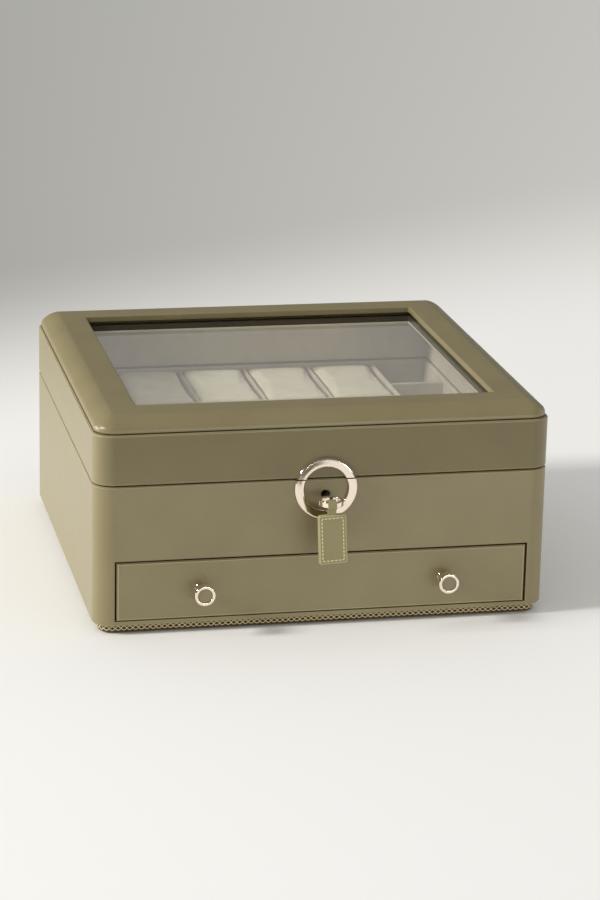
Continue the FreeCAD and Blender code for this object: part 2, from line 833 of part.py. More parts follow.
def shoulder_section(sketch, edge_x):
    """What is swept away outside the cap's shoulder.

    The shoulder's section is a small arc, upright at the foot, that runs on
    into a larger one at half a right angle. The large arc ends at the crease
    angle, short of level. Both radii follow from the shoulder's width and
    height: each is a share of the width less a share of the height.
    """
    foot = (edge_x, cap_low + s.cap_upright)
    crease = (edge_x + s.cap_round, cap_top)
    height = s.cap_height - s.cap_upright
    half = math.pi / 4
    turn = math.radians(s.crease_angle.number)
    low_across, low_up = 1 - math.cos(half), math.sin(half)
    high_across, high_up = math.cos(half) - math.cos(turn), math.sin(turn) - math.sin(half)
    spread = low_across * high_up - high_across * low_up
    small = s.cap_round * (high_up / spread) - height * (high_across / spread)
    large = height * (low_across / spread) - s.cap_round * (low_up / spread)
    above, outside = cap_top + s.overcut, edge_x - s.overcut
    outline = [crease, (crease[0], above), (outside, above), (outside, foot[1]), foot]
    points = [FreeCAD.Vector(a.number, b.number, 0) for a, b in outline]
    for start, end in zip(points, points[1:]):
        sketch.addGeometry(Part.LineSegment(start, end))
    for i in range(3):
        sketch.addConstraint(Sketcher.Constraint("Coincident", i, 2, i + 1, 1))
    for i, (across, along) in enumerate(outline):
        line, end = (i, 1) if i < 4 else (3, 2)
        rule(sketch, across, "DistanceX", -1, 1, line, end)
        rule(sketch, along, "DistanceY", -1, 1, line, end)
    up = FreeCAD.Vector(0, 0, 1)
    low_centre = points[4] + FreeCAD.Vector(small.number, 0, 0)
    step = large.number - small.number
    high_centre = low_centre + FreeCAD.Vector(step * math.cos(half), -step * math.sin(half), 0)
    low_circle = Part.Circle(low_centre, up, small.number)
    high_circle = Part.Circle(high_centre, up, large.number)
    low_arc = sketch.addGeometry(Part.ArcOfCircle(low_circle, math.pi - half, math.pi))
    high_arc = sketch.addGeometry(
        Part.ArcOfCircle(high_circle, math.pi - turn, math.pi - half))
    sketch.addConstraint(Sketcher.Constraint("Coincident", low_arc, 2, 3, 2))
    sketch.addConstraint(Sketcher.Constraint("Coincident", high_arc, 1, 0, 1))
    sketch.addConstraint(Sketcher.Constraint("Tangent", low_arc, 1, high_arc, 2))
    sketch.addConstraint(Sketcher.Constraint("Horizontal", low_arc, 2, low_arc, 3))
    rule(sketch, small, "Radius", low_arc)
    rule(sketch, large, "Radius", high_arc)


def frame(name, outer, inner, z):
    """A flat rectangular frame between two half-size pairs."""
    body = new_body(name)
    sketch = new_sketch(body, name + "_plan", "XY_Plane", z[0])
    for half_x, half_y in (outer, inner):
        rectangle(sketch, (-half_x, half_x), (-half_y, half_y))
    pad(body, sketch, length(z[1]) - z[0])
    return body


def lid_glazing():
    """The pane, and the frame that holds it up into the cap's rebate."""
    reach = s.glass_rebate - s.glass_play
    pane_x, pane_y = window_x + reach, window_y + reach
    keep(block("pane", (-pane_x, pane_x), (-pane_y, pane_y), (glass_low, glass_top)),
         "glass_pane")
    keep(frame("pane_holder", (pane_x, pane_y), (window_x, window_y), (band_top, glass_low)),
         "glass_retainer")


def lid_lining():
    """A covered board round the lid: up the walls, and in to the window."""
    body = new_body("lid_lining_board")
    low = lid_low + s.lining_clear
    wall = new_sketch(body, "lining_walls", "XY_Plane", low)
    rectangle(wall, (-well_x, well_x), (well_front, well_back))
    thick = s.lining_thick
    rectangle(wall, (-well_x + thick, well_x - thick),
              (well_front + thick, well_back - thick))
    pad(body, wall, band_top - low)
    flange = new_sketch(body, "lining_flange", "XY_Plane", band_top - thick)
    rectangle(flange, (-well_x, well_x), (well_front, well_back))
    rectangle(flange, (-window_x, window_x), (-window_y, window_y))
    pad(body, flange, thick)
    return keep(body, "lid_lining")


def hinge_leaf(name, label, low, high, ends, pilots_up):
    """A leaf let into a wall, with knuckles round the pin at the given spans.

    ends lists the knuckle spans along X, counted from the hinge's middle.
    """
    half = s.hinge_length / 2
    clear_y = hinge_y - s.knuckle_radius - s.hinge_gap
    leaves = []
    for i, centre in enumerate(hinge_centres):
        stem = f"{name}_{i}"
        pieces = [block(stem + "_plate", (centre - half, centre + half),
                        (back_y - s.leaf_depth, clear_y), (low, high))]
        for j, (start, stop) in enumerate(ends):
            pieces.append(block(f"{stem}_neck_{j}", (centre + start, centre + stop),
                                (clear_y, hinge_y), (low, high)))
            pieces.append(rod(f"{stem}_knuckle_{j}", s.knuckle_radius, stop - start,
                              (centre + start, hinge_y, hinge_z), "X"))
        solid = joined(stem + "_solid", pieces)
        tools = [rod(stem + "_bore", s.pin_radius + s.pin_play, s.hinge_length,
                     (centre - half, hinge_y, hinge_z), "X")]
        for j, sign in enumerate((-1, 1)):
            face = low if pilots_up else high
            axis = "Z" if pilots_up else "-Z"
            spot = (centre + sign * s.screw_spread, screw_row_y, face)
            tools.append(peg(f"{stem}_sink_{j}", s.screw_head, s.screw_sink, spot, axis))
            tools.append(peg(f"{stem}_hole_{j}", s.screw_radius, s.screw_length, spot, axis))
        leaves.append(cut(stem, solid, tools))
    return keep(grouped(name, leaves), label)


def hinges():
    """Two butt hinges, their leaves let in and a pin through the knuckles."""
    half = s.hinge_length / 2
    middle = s.hinge_middle / 2
    outer = [(-half, -middle - s.hinge_gap), (middle + s.hinge_gap, half)]
    hinge_leaf("lower_leaves", "hinge_lower_leaves", rim - s.leaf_thick, rim, outer, False)
    hinge_leaf("upper_leaves", "hinge_upper_leaves", lid_low, lid_low + s.leaf_thick,
               [(-middle, middle)], True)
    pins = [rod(f"hinge_pin_{i}", s.pin_radius, s.hinge_length,
                (c - half, hinge_y, hinge_z), "X") for i, c in enumerate(hinge_centres)]
    keep(grouped("pin_pair", pins), "hinge_pins")
    lower = [screw(f"lower_screw_{i}", x, screw_row_y, rim, "-Z")
             for i, x in enumerate(hinge_screw_x)]
    keep(grouped("lower_screws", lower), "hinge_screws_lower")
    upper = [screw(f"upper_screw_{i}", x, screw_row_y, lid_low, "Z")
             for i, x in enumerate(hinge_screw_x)]
    keep(grouped("upper_screws", upper), "hinge_screws_upper")


def plate_sinks(name, z, axis):
    """Head seats and holes for the two screws of a lock plate."""
    tools = []
    for i, sign in enumerate((-1, 1)):
        spot = (sign * plate_screw_x, lock_y, z)
        tools.append(peg(f"{name}_sink_{i}", s.screw_head, s.screw_sink, spot, axis))
        tools.append(peg(f"{name}_hole_{i}", s.screw_radius, s.screw_length, spot, axis))
    return tools


def lock():
    """The lock let into the front wall, and its strike plate in the lid."""
    wall = s.case_wall
    under = rim - s.selvedge_thick
    shell = joined("case_solid", [
        block("case_box", (-case_x, case_x), case_y, (case_low, under)),
        block("case_selvedge", (-selvedge_x, selvedge_x), selvedge_y, (under, rim))])
    tools = [block("case_room", (-case_x + wall, case_x - wall),
                   (case_y[0] + wall, case_y[1] - wall), (case_low + wall, under)),
             block("case_slot", slot_x, slot_y, (under - s.overcut, rim + s.overcut)),
             rod("case_bore", s.plug_radius + s.turn_play, s.case_thick / 2,
                 (0, case_y[0], lock_z), "Y")]
    tools += plate_sinks("case", rim, "-Z")
    keep(cut("case", shell, tools), "lock_case")
    screws = [screw(f"lock_screw_{i}", sign * plate_screw_x, lock_y, rim, "-Z")
              for i, sign in enumerate((-1, 1))]
    keep(grouped("lock_screw_pair", screws), "lock_screws")
    plate = block("strike", (-selvedge_x, selvedge_x), selvedge_y,
                  (lid_low, lid_low + s.selvedge_thick))
    top = lid_low + s.selvedge_thick
    tools = [block("strike_slot", slot_x, slot_y, (lid_low - s.overcut, top + s.overcut))]
    tools += plate_sinks("strike", lid_low, "Z")
    keep(cut("strike_plate_solid", plate, tools), "strike_plate")
    screws = [screw(f"strike_screw_{i}", sign * plate_screw_x, lock_y, lid_low, "Z")
              for i, sign in enumerate((-1, 1))]
    keep(grouped("strike_screw_pair", screws), "strike_screws")


def lock_plug():
    """The turning plug: barrel, flange and eight-sided tail, with a keyway down it."""
    inside = case_y[0] + s.case_wall
    flange_low = inside + s.turn_play
    tail_end = hook_y[1] + s.clip_thick
    z = lock_z
    barrel = joined("plug_solid", [
        rod("plug_barrel", s.plug_radius, flange_low - plug_front, (0, plug_front, z), "Y"),
        rod("plug_collar", s.plug_flange, hook_y[0] - flange_low, (0, flange_low, z), "Y"),
        peg("plug_tail_bar", s.plug_tail, tail_end - hook_y[0], (0, hook_y[0], z), "Y")])
    half = s.key_bit_thick / 2 + s.key_play
    tools = [rod("plug_keyway", s.key_radius + s.key_play, hook_y[1] - plug_front,
                 (0, plug_front, z), "Y"),
             block("plug_bit_slot", (-half, half), (plug_front, flange_low),
                   (z - s.key_bit_reach - s.key_play, z))]
    keep(cut("plug", barrel, tools), "lock_plug")
    clip = cut("clip_ring", rod("clip_disc", s.clip_radius, s.clip_thick,
                                (0, hook_y[1], z), "Y"),
               [peg("clip_hole", s.plug_tail, s.clip_thick, (0, hook_y[1], z), "Y")])
    keep(clip, "plug_clip")


def lock_hook():
    """The hook on the plug: a hub, an arm and a curved beak.

    The beak is part of a ring round the plug, so it rises through the slot
    of the strike plate and comes to lie over the plate as the key turns. It
    is drawn locked, then turned back by a quarter to where it rests open.
    """
    run = s.hook_thick
    beak = doc.addObject("Part::Cylinder", "hook_beak_outer")
    bind(beak, "Radius", s.hook_outer)
    bind(beak, "Height", run)
    bind(beak, "Angle", s.hook_trail - s.hook_lead)
    hollow = rod("hook_beak_inner", s.hook_inner, run, (0, 0, 0))
    sector = cut("hook_beak", beak, [hollow])
    turned = FreeCAD.Rotation(FreeCAD.Vector(0, 0, 1), s.hook_lead.number)
    sector.Placement = FreeCAD.Placement(FreeCAD.Vector(), turned)
    bind(sector, "Placement.Rotation.Angle", s.hook_lead)
    arm_reach = (s.hook_inner + s.hook_outer) / 2
    arm = block("hook_arm", (0, arm_reach), (-s.hook_arm_width / 2, s.hook_arm_width / 2),
                (0, run))
    arm_holder = grouped("hook_arm_turned", [arm])
    turned = FreeCAD.Rotation(FreeCAD.Vector(0, 0, 1), s.hook_arm_angle.number)
    arm_holder.Placement = FreeCAD.Placement(FreeCAD.Vector(), turned)
    bind(arm_holder, "Placement.Rotation.Angle", s.hook_arm_angle)
    hub = rod("hook_hub_disc", s.hook_hub, run, (0, 0, 0))
    whole = joined("hook_solid", [hub, arm_holder, sector])
    hook = cut("hook", whole, [peg("hook_bore", s.plug_tail, run, (0, 0, 0))])
    upright = FreeCAD.Rotation(FreeCAD.Vector(1, 0, 0), 90)
    open_turn = FreeCAD.Rotation(FreeCAD.Vector(0, 1, 0), -90)
    hook.Placement = FreeCAD.Placement(FreeCAD.Vector(), open_turn * upright)
    place(hook, 0, hook_y[1], lock_z)
    return keep(hook, "lock_hook")


bow_y = front_y - s.bow_reach


def key():
    """The key: a round shaft with a bit, and a ring-shaped bow."""
    z = lock_z
    tip = hook_y[1] - s.case_wall
    shaft = rod("key_bar", s.key_radius, tip - bow_y, (0, bow_y, z), "Y")
    half = s.key_bit_thick / 2
    bit = block("key_bit", (-half, half),
                (plug_front + s.key_play, plug_front + s.plug_sink),
                (z - s.key_bit_reach, z))
    half_saddle = s.key_bit_reach + s.overcut
    saddle = rod("key_saddle", s.bow_outer, 2 * half_saddle, (0, bow_y, z - half_saddle))
    keep(cut("key_stem", joined("key_stem_solid", [shaft, bit]), [saddle]), "key_shaft")
    body = new_body("bow_band")
    sketch = new_sketch(body, "bow_plan", "XY_Plane", z - s.bow_height / 2)
    ring(sketch, 0, bow_y, s.bow_outer)
    ring(sketch, 0, bow_y, s.bow_inner)
    pad(body, sketch, s.bow_height)
    keep(body, "key_bow")


def tag():
    """The leather tag and the strap that loops it to the key's bow.

    The strap is doubled below its loop and tucked into the tag. Both are drawn
    hanging from the middle of the loop, then put on the front of the bow, a
    little to the left, with the slight lean that the hanging tag has.
    """
    band_middle = band_centre()
    inner = loop_radius()
    outer = inner + s.strap_thick
    half = s.strap_width / 2
    loop = rod("strap_ring", outer, s.strap_width, (-half, 0, 0), "X")
    neck = block("strap_neck", (-half, half), (-s.strap_thick, s.strap_thick),
                 (-s.tag_drop - s.strap_tuck, 0))
    whole = joined("strap_solid", [loop, neck])
    hole = rod("strap_hole", inner, s.strap_width, (-half, 0, 0), "X")
    strap = cut("strap", whole, [hole])
    body = new_body("tag_leaf")
    sketch = new_sketch(body, "tag_outline", "XZ_Plane", -s.tag_thick / 2)
    rounded(sketch, (-s.tag_width / 2, s.tag_width / 2),
            (-s.tag_drop - s.tag_length, -s.tag_drop), s.tag_corner)
    leaf = pad(body, sketch, s.tag_thick)
    front, back = all_at("Y", -s.tag_thick / 2), all_at("Y", s.tag_thick / 2)
    bevel(body, leaf, s.leather_edge, lambda e: front(e) or back(e))
    tuck = block("tag_tuck", (-half, half), (-s.strap_thick, s.strap_thick),
                 (-s.tag_drop - s.strap_tuck, 0))
    leather = cut("tag_leather_solid", body, [tuck])
    lean = FreeCAD.Rotation(FreeCAD.Vector(0, 1, 0), -s.tag_lean.number)
    for piece, label in ((strap, "tag_strap"), (leather, "tag_leather")):
        piece.Placement = FreeCAD.Placement(FreeCAD.Vector(), lean)
        place(piece, -s.tag_aside, band_middle, lock_z)
        keep(piece, label)


def band_centre():
    """Where the loop's middle lies: amid the bow's band over the strap's width."""
    far_edge = s.strap_width.number / 2 + s.tag_aside.number
    inner_edge = math.sqrt(s.bow_inner.number ** 2 - far_edge ** 2)
    sagitta = length(round(s.bow_inner.number - inner_edge, 4))
    return bow_y - (s.bow_outer + s.bow_inner - sagitta) / 2


def loop_radius():
    """The loop's inner radius: clear of the band's corners at any swing."""
    reach = s.bow_outer.number + bow_y.number * -1 + band_centre().number
    half_height = s.bow_height.number / 2
    return length(round(math.hypot(reach, half_height), 4)) + s.strap_play


def ring_plate():
    """The split ring on the front, half on the case and half on the lid."""
    z = rim - s.ring_drop
    middle = (s.ring_outer.number + s.ring_inner.number) / 2
    for label, low, high in (("escutcheon_lower", z - s.ring_outer - s.overcut, rim),
                             ("escutcheon_upper", lid_low, z + s.ring_outer + s.overcut)):
        body = new_body(label + "_ring")
        sketch = new_sketch(body, label + "_plan", "XZ_Plane", -front_y)
        ring(sketch, 0, z, s.ring_outer)
        ring(sketch, 0, z, s.ring_inner)
        band = pad(body, sketch, s.ring_thick)
        front = all_at("Y", front_y - s.ring_thick)
        bevel(body, band, s.ring_bevel,
              lambda e: front(e) and e.Curve.Radius > middle)
        side = s.ring_outer + s.overcut
        window = block(label + "_half", (-side, side),
                       (front_y - s.ring_thick - s.overcut, front_y), (low, high))
        half = doc.addObject("Part::Common", label + "_part")
        half.Base = body
        half.Tool = window
        keep(half, label)


def drawer_front():
    """The drawer's face, with a groove for its bottom and holes for knobs."""
    body = new_body("face_board")
    sketch = new_sketch(body, "face_plan", "XZ_Plane", -well_front)
    rectangle(sketch, (-drawer_x, drawer_x), (drawer_low, drawer_top))
    face = pad(body, sketch, s.front_wall)
    bevel(body, face, s.drawer_edge, all_at("Y", front_y))
    groove_low = drawer_low + s.drawer_bottom_rise - s.groove_play
    groove_x = drawer_inner_x + s.drawer_groove
    tools = [block("face_groove", (-groove_x, groove_x),
                   (well_front - s.drawer_groove, well_front + s.overcut),
                   (groove_low, groove_low + s.drawer_bottom_thick + 2 * s.groove_play))]
    for i, sign in enumerate((-1, 1)):
        spot = (sign * s.knob_spread / 2, front_y, s.knob_height)
        tools.append(peg(f"face_screw_hole_{i}", s.knob_screw_radius, s.front_wall, spot, "Y"))
        back = (spot[0], well_front - s.knob_screw_sink, spot[2])
        tools.append(peg(f"face_screw_seat_{i}", s.knob_screw_head + s.groove_play,
                         s.knob_screw_sink, back, "Y"))
    return keep(cut("face", body, tools), "drawer_front")


def drawer_box():
    """The drawer's sides, back and bottom."""
    top = drawer_low + s.drawer_wall_height
    groove_low = drawer_low + s.drawer_bottom_rise - s.groove_play
    groove = (groove_low, groove_low + s.drawer_bottom_thick + 2 * s.groove_play)
    for side, sign in (("left", -1), ("right", 1)):
        x = sorted((sign * drawer_inner_x, sign * drawer_side_x), key=lambda v: v.number)
        body = board(f"side_board_{side}", x, (well_front, drawer_back_y),
                     (drawer_low, top), s.drawer_edge)
        inner = sign * drawer_inner_x
        cut_x = sorted((inner - s.drawer_groove, inner + s.drawer_groove),
                       key=lambda v: v.number)
        slot = block(f"side_groove_{side}", cut_x, (well_front, drawer_back_front), groove)
        keep(cut(f"side_{side}", body, [slot]), f"drawer_side_{side}")
    x = (-drawer_inner_x, drawer_inner_x)
    keep(board("back_board", x, (drawer_back_front, drawer_back_y),
               (groove[1], groove[1] + s.drawer_back_height), s.drawer_edge), "drawer_back")
    reach = drawer_inner_x + s.drawer_groove - s.groove_play
    inlet = s.drawer_groove - s.groove_play
    keep(block("bottom_panel", (-reach, reach), (well_front - inlet, drawer_back_front),
               (drawer_low + s.drawer_bottom_rise, tray_bottom)), "drawer_bottom")


def drawer_inside():
    """The lining tray and the two dividers that stand in it."""
    play = s.tray_play
    x = (-drawer_inner_x + play, drawer_inner_x - play)
    y = (well_front + play, drawer_back_front - play)
    top = drawer_low + s.drawer_wall_height - s.tray_drop
    body = new_body("tray_shell")
    sketch = new_sketch(body, "tray_plan", "XY_Plane", tray_bottom)
    rectangle(sketch, x, y)
    pad(body, sketch, top - tray_bottom)
    wall = s.tray_wall
    hollow = new_sketch(body, "tray_hollow", "XY_Plane", top)
    rectangle(hollow, (x[0] + wall, x[1] - wall), (y[0] + wall, y[1] - wall))
    pocket(body, hollow, top - tray_bottom - wall)
    keep(body, "drawer_lining")
    half = s.small_divider_thick / 2
    boards = []
    for i, sign in enumerate((-1, 1)):
        middle = sign * s.drawer_divider_place
        boards.append(board(f"drawer_divider_{i}", (middle - half, middle + half),
                            (y[0] + wall, y[1] - wall),
                            (tray_bottom + wall, top - s.tray_drop), s.board_edge))
    keep(grouped("drawer_divider_pair", boards), "drawer_dividers")


def knob_shell(side, sign):
    """A turned knob: foot, stem and a disc with a sunk face."""
    body = new_body(f"knob_turning_{side}")
    sketch = new_sketch(body, f"knob_profile_{side}", "XY_Plane", 0)
    reach, disc = s.knob_reach, s.knob_disc
    bore = s.knob_screw_radius
    rim_inner = s.knob_radius - s.knob_rim
    polygon(sketch, [
        (bore, 0), (s.knob_foot, 0), (s.knob_foot, -s.leather_edge),
        (s.knob_stem, -s.leather_edge), (s.knob_stem, disc - reach),
        (s.knob_radius, disc - reach), (s.knob_radius, -reach), (rim_inner, -reach),
        (rim_inner, s.knob_recess - reach), (0, s.knob_recess - reach),
        (0, -s.knob_screw_grip), (bore, -s.knob_screw_grip)])
    turned = body.newObject("PartDesign::Revolution", f"knob_turned_{side}")
    turned.Profile = sketch
    turned.ReferenceAxis = (sketch, ["V_Axis"])
    turned.Angle = 360
    doc.recompute()
    place(body, sign * s.knob_spread / 2, front_y, s.knob_height)
    return body


def knobs():
    """Both knobs, their leather insets and the screws through the face."""
    shells, insets, screws = [], [], []
    for side, sign in (("left", -1), ("right", 1)):
        shells.append(knob_shell(side, sign))
        x = sign * s.knob_spread / 2
        seat_y = front_y - s.knob_reach + s.knob_recess
        proud = s.knob_recess - s.inset_proud
        insets.append(rod(f"knob_inset_{side}", s.knob_radius - s.knob_rim, proud,
                          (x, seat_y, s.knob_height), "-Y"))
        head_y = well_front - s.knob_screw_sink
        shank = peg(f"knob_shank_{side}", s.knob_screw_radius,
                    head_y - front_y + s.knob_screw_grip,
                    (x, front_y - s.knob_screw_grip, s.knob_height), "Y")
        head = peg(f"knob_head_{side}", s.knob_screw_head, s.knob_screw_sink - s.groove_play,
                   (x, head_y, s.knob_height), "Y")
        screws.append(joined(f"knob_screw_{side}", [shank, head]))
    keep(grouped("knob_pair", shells), "knobs")
    keep(grouped("knob_inset_pair", insets), "knob_insets")
    keep(grouped("knob_screw_pair", screws), "knob_screws")


def check_and_write():
    """Stops at any failed object, then writes one file for each piece."""
    doc.recompute()
    for thing in doc.Objects:
        if "Invalid" in thing.State or "Error" in thing.State:
            raise RuntimeError(f"{thing.Label} failed: {thing.State}")
    for node in nodes:
        if node.Shape.isNull() or not node.Shape.isValid() or not node.Shape.Solids:
            raise RuntimeError(f"{node.Label} has no valid solid")
    os.makedirs("parts", exist_ok=True)
    for node in nodes:
        node.Shape.exportStep(os.path.join("parts", node.Label + ".step"))


plinth()
base_carcass()
base_boards()
drawer_runners()
tray_liners()
tray_dividers()
ring_rolls()
for pillow_number in range(1, CELLS + 1):
    watch_pillow(pillow_number)
lid_band()
lid_cap_frame()
lid_glazing()
lid_lining()
hinges()
lock()
lock_plug()
lock_hook()
key()
tag()
ring_plate()
drawer_front()
drawer_box()
drawer_inside()
knobs()
check_and_write()
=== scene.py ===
"""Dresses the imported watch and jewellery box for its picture.

Lengths of pieces and of patterns are millimetres, turned to metres by MM where a
mesh or a node is made. The camera, the lamps and the floor's shading are in metres.
"""
import json
import math

import bmesh
import bpy
import numpy as np
from mathutils import Matrix, Vector


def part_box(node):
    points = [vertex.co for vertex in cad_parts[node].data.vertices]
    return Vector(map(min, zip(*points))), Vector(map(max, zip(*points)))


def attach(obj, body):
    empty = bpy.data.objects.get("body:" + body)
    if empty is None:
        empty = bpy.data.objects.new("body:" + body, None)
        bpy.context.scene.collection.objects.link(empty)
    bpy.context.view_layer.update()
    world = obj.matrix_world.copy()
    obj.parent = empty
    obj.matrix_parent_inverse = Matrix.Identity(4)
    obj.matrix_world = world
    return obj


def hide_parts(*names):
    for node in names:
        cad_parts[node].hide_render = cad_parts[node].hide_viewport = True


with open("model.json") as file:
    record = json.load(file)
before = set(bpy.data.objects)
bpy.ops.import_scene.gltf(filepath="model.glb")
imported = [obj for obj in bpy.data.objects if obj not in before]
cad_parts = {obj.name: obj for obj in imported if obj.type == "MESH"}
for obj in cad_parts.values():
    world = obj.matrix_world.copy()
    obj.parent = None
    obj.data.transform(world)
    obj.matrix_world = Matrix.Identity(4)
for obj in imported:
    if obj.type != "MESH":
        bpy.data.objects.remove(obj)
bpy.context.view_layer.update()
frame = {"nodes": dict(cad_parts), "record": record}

MM = 0.001
BODY_OF = {n: body for body, members in frame["record"]["behaviour"]["bodies"].items()
           for n in members}
SLOT_OF = {p["node"]: p["material_slot"] for p in frame["record"]["subparts"]}

# Places that several pieces share.
FACE_Y = -147.0
KNOB_X, KNOB_Z = 80.5, 29.5
LOCK_Z = 94.0
PARTING_LOW, PARTING_HIGH = 99.9, 100.7
SCREWS_LOW, SCREWS_HIGH = 99.88, 100.72
BOW_PLACE = (0, -164, 89.6)
TAG_HANG = (-1.1, -170.21, 89.6)
TAPE_LOOP = (145.9, 142.9, 8.9)


def box_mm(node):
    """Lowest and highest corner of a CAD node, in millimetres."""
    low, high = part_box(node)
    return np.array(low) / MM, np.array(high) / MM


# ---------------------------------------------------------------- camera

CAMERA_PLACE = (-0.398726, -1.891455, 0.659972)
CAMERA_TURN, CAMERA_TILT, CAMERA_ROLL = 11.904, 16.973, 1.155
CAMERA_LENS, CAMERA_SHIFT = 116.728, (0.02319, 0.00785)


def add_camera():
    """The photograph's view, from a fit to the case's edges: turn, tilt and roll."""
    turn, tilt, roll = (math.radians(a) for a in (CAMERA_TURN, CAMERA_TILT, CAMERA_ROLL))
    forward = Vector((math.sin(turn) * math.cos(tilt), math.cos(turn) * math.cos(tilt),
                      -math.sin(tilt)))
    level = Vector((math.cos(turn), -math.sin(turn), 0))
    upright = level.cross(forward)
    right = math.cos(roll) * level + math.sin(roll) * upright
    up = math.cos(roll) * upright - math.sin(roll) * level
    data = bpy.data.cameras.new("camera")
    data.sensor_width = 36
    data.lens = CAMERA_LENS
    data.shift_x, data.shift_y = CAMERA_SHIFT
    data.dof.use_dof = False
    camera = bpy.data.objects.new("camera", data)
    bpy.context.scene.collection.objects.link(camera)
    axes = Matrix((right, up, -forward)).transposed().to_4x4()
    camera.matrix_world = Matrix.Translation(CAMERA_PLACE) @ axes
    bpy.context.scene.camera = camera


# ---------------------------------------------------------------- meshes

def new_piece(name, points, faces):
    """A mesh object from places in millimetres and lists of corner numbers."""
    mesh = bpy.data.meshes.new(name)
    mesh.from_pydata((np.asarray(points, float) * MM).tolist(), [], faces)
    mesh.validate()
    piece = bpy.data.objects.new(name, mesh)
    bpy.context.scene.collection.objects.link(piece)
    return piece


def grid_faces(rows, columns, wrap_rows, wrap_columns, start):
    """Corner numbers of the faces between neighbours of a rows by columns grid."""
    i = np.arange(rows if wrap_rows else rows - 1)
    j = np.arange(columns if wrap_columns else columns - 1)
    i, j = (a.ravel() for a in np.meshgrid(i, j, indexing="ij"))
    after_i, after_j = (i + 1) % rows, (j + 1) % columns
    corners = (i * columns + j, after_i * columns + j,
               after_i * columns + after_j, i * columns + after_j)
    return (np.stack(corners, axis=1) + start).tolist()


def outward(piece):
    """Turns the faces of a closed piece outwards."""
    work = bmesh.new()
    work.from_mesh(piece.data)
    bmesh.ops.recalc_face_normals(work, faces=work.faces)
    work.to_mesh(piece.data)
    work.free()
    return piece


def smooth(piece, sharp_angle):
    """Smooth shading, but for edges that turn by more than an angle."""
    piece.data.shade_smooth()
    piece.data.set_sharp_from_angle(angle=math.radians(sharp_angle))
    return piece


def sheet_piece(name, grids, wrap=(False, False), caps=False, sharp_angle=40):
    """A piece from grids of places, each given by a function of two parameters.

    Neighbours [i, j] share a face. wrap closes a direction on itself, and caps
    closes the first and last row with a flat face.
    """
    if isinstance(grids, np.ndarray):
        grids = [grids]
    faces, start = [], 0
    for grid in grids:
        rows, columns = grid.shape[:2]
        faces += grid_faces(rows, columns, *wrap, start)
        if caps:
            last = start + (rows - 1) * columns
            faces.append(list(range(start, start + columns)))
            faces.append(list(range(last, last + columns)))
        start += rows * columns
    points = np.concatenate([grid.reshape(-1, 3) for grid in grids])
    return smooth(outward(new_piece(name, points, faces)), sharp_angle)


def turned(profile, centre, axis="Y", steps=96):
    """Places of a turned form: profile pairs (r, h) carried round Y or Z.

    P(k, a) = centre + r_k (cos a, sin a) across the axis + h_k along it.
    """
    profile = np.asarray(profile, float)
    angle = np.linspace(0, 2 * np.pi, steps, endpoint=False)
    across, up = profile[:, :1] * np.cos(angle), profile[:, :1] * np.sin(angle)
    along = np.broadcast_to(profile[:, 1:], across.shape)
    parts = (across, along, up) if axis == "Y" else (across, up, along)
    return np.stack(parts, axis=-1) + np.asarray(centre, float)


def rounded_path(corners, radii, steps=6):
    """A section through corners, each rounded over its own distance.

    With A and B that distance before and after the corner C, the places are
    (1-q)^2 A + 2 q (1-q) C + q^2 B, for q from 0 to 1.
    """
    corners = np.asarray(corners, float)
    places = [corners[0]]
    for before, corner, after, radius in zip(corners, corners[1:], corners[2:], radii):
        back = (before - corner) / np.linalg.norm(before - corner)
        on = (after - corner) / np.linalg.norm(after - corner)
        q = np.linspace(0, 1, steps + 1)[:, None]
        places.extend((1 - q) ** 2 * (corner + radius * back) + 2 * q * (1 - q) * corner
                      + q ** 2 * (corner + radius * on))
    places.append(corners[-1])
    return np.array(places)


def closed_path(corners, radius, steps):
    """A closed section through corners, each rounded the same."""
    corners = np.asarray(corners, float)
    start = (corners[-1] + corners[0]) / 2
    return rounded_path([start, *corners, start], [radius] * len(corners), steps)[:-1]


def loop_around(half_x, half_y, radius, steps=12):
    """A rounded rectangle's places, anticlockwise from the right side's foot.

    For corner k: centre_k + radius (cos a, sin a), a over a quarter turn.
    """
    quarter = np.linspace(0, np.pi / 2, steps + 1)
    places = []
    for k, (sx, sy) in enumerate(((1, 1), (-1, 1), (-1, -1), (1, -1))):
        angle = quarter + k * np.pi / 2
        centre = np.array([sx * (half_x - radius), sy * (half_y - radius)])
        places.append(centre + radius * np.stack([np.cos(angle), np.sin(angle)], axis=1))
    return np.concatenate(places)


def level_loop(half_x, half_y, radius, z):
    """A rounded rectangle's places at one height."""
    flat = loop_around(half_x, half_y, radius)
    return np.column_stack([flat, np.full(len(flat), z)])


def clean_copy(node):
    """A copy of a CAD node's mesh with its triangles joined and flats made whole."""
    work = bmesh.new()
    work.from_mesh(frame["nodes"][node].data)
    bmesh.ops.remove_doubles(work, verts=work.verts, dist=1e-6)
    bmesh.ops.dissolve_limit(work, angle_limit=math.radians(0.5), verts=work.verts,
                             edges=work.edges)
    bmesh.ops.recalc_face_normals(work, faces=work.faces)
    mesh = bpy.data.meshes.new(node + "_dressed")
    work.to_mesh(mesh)
    work.free()
    return mesh


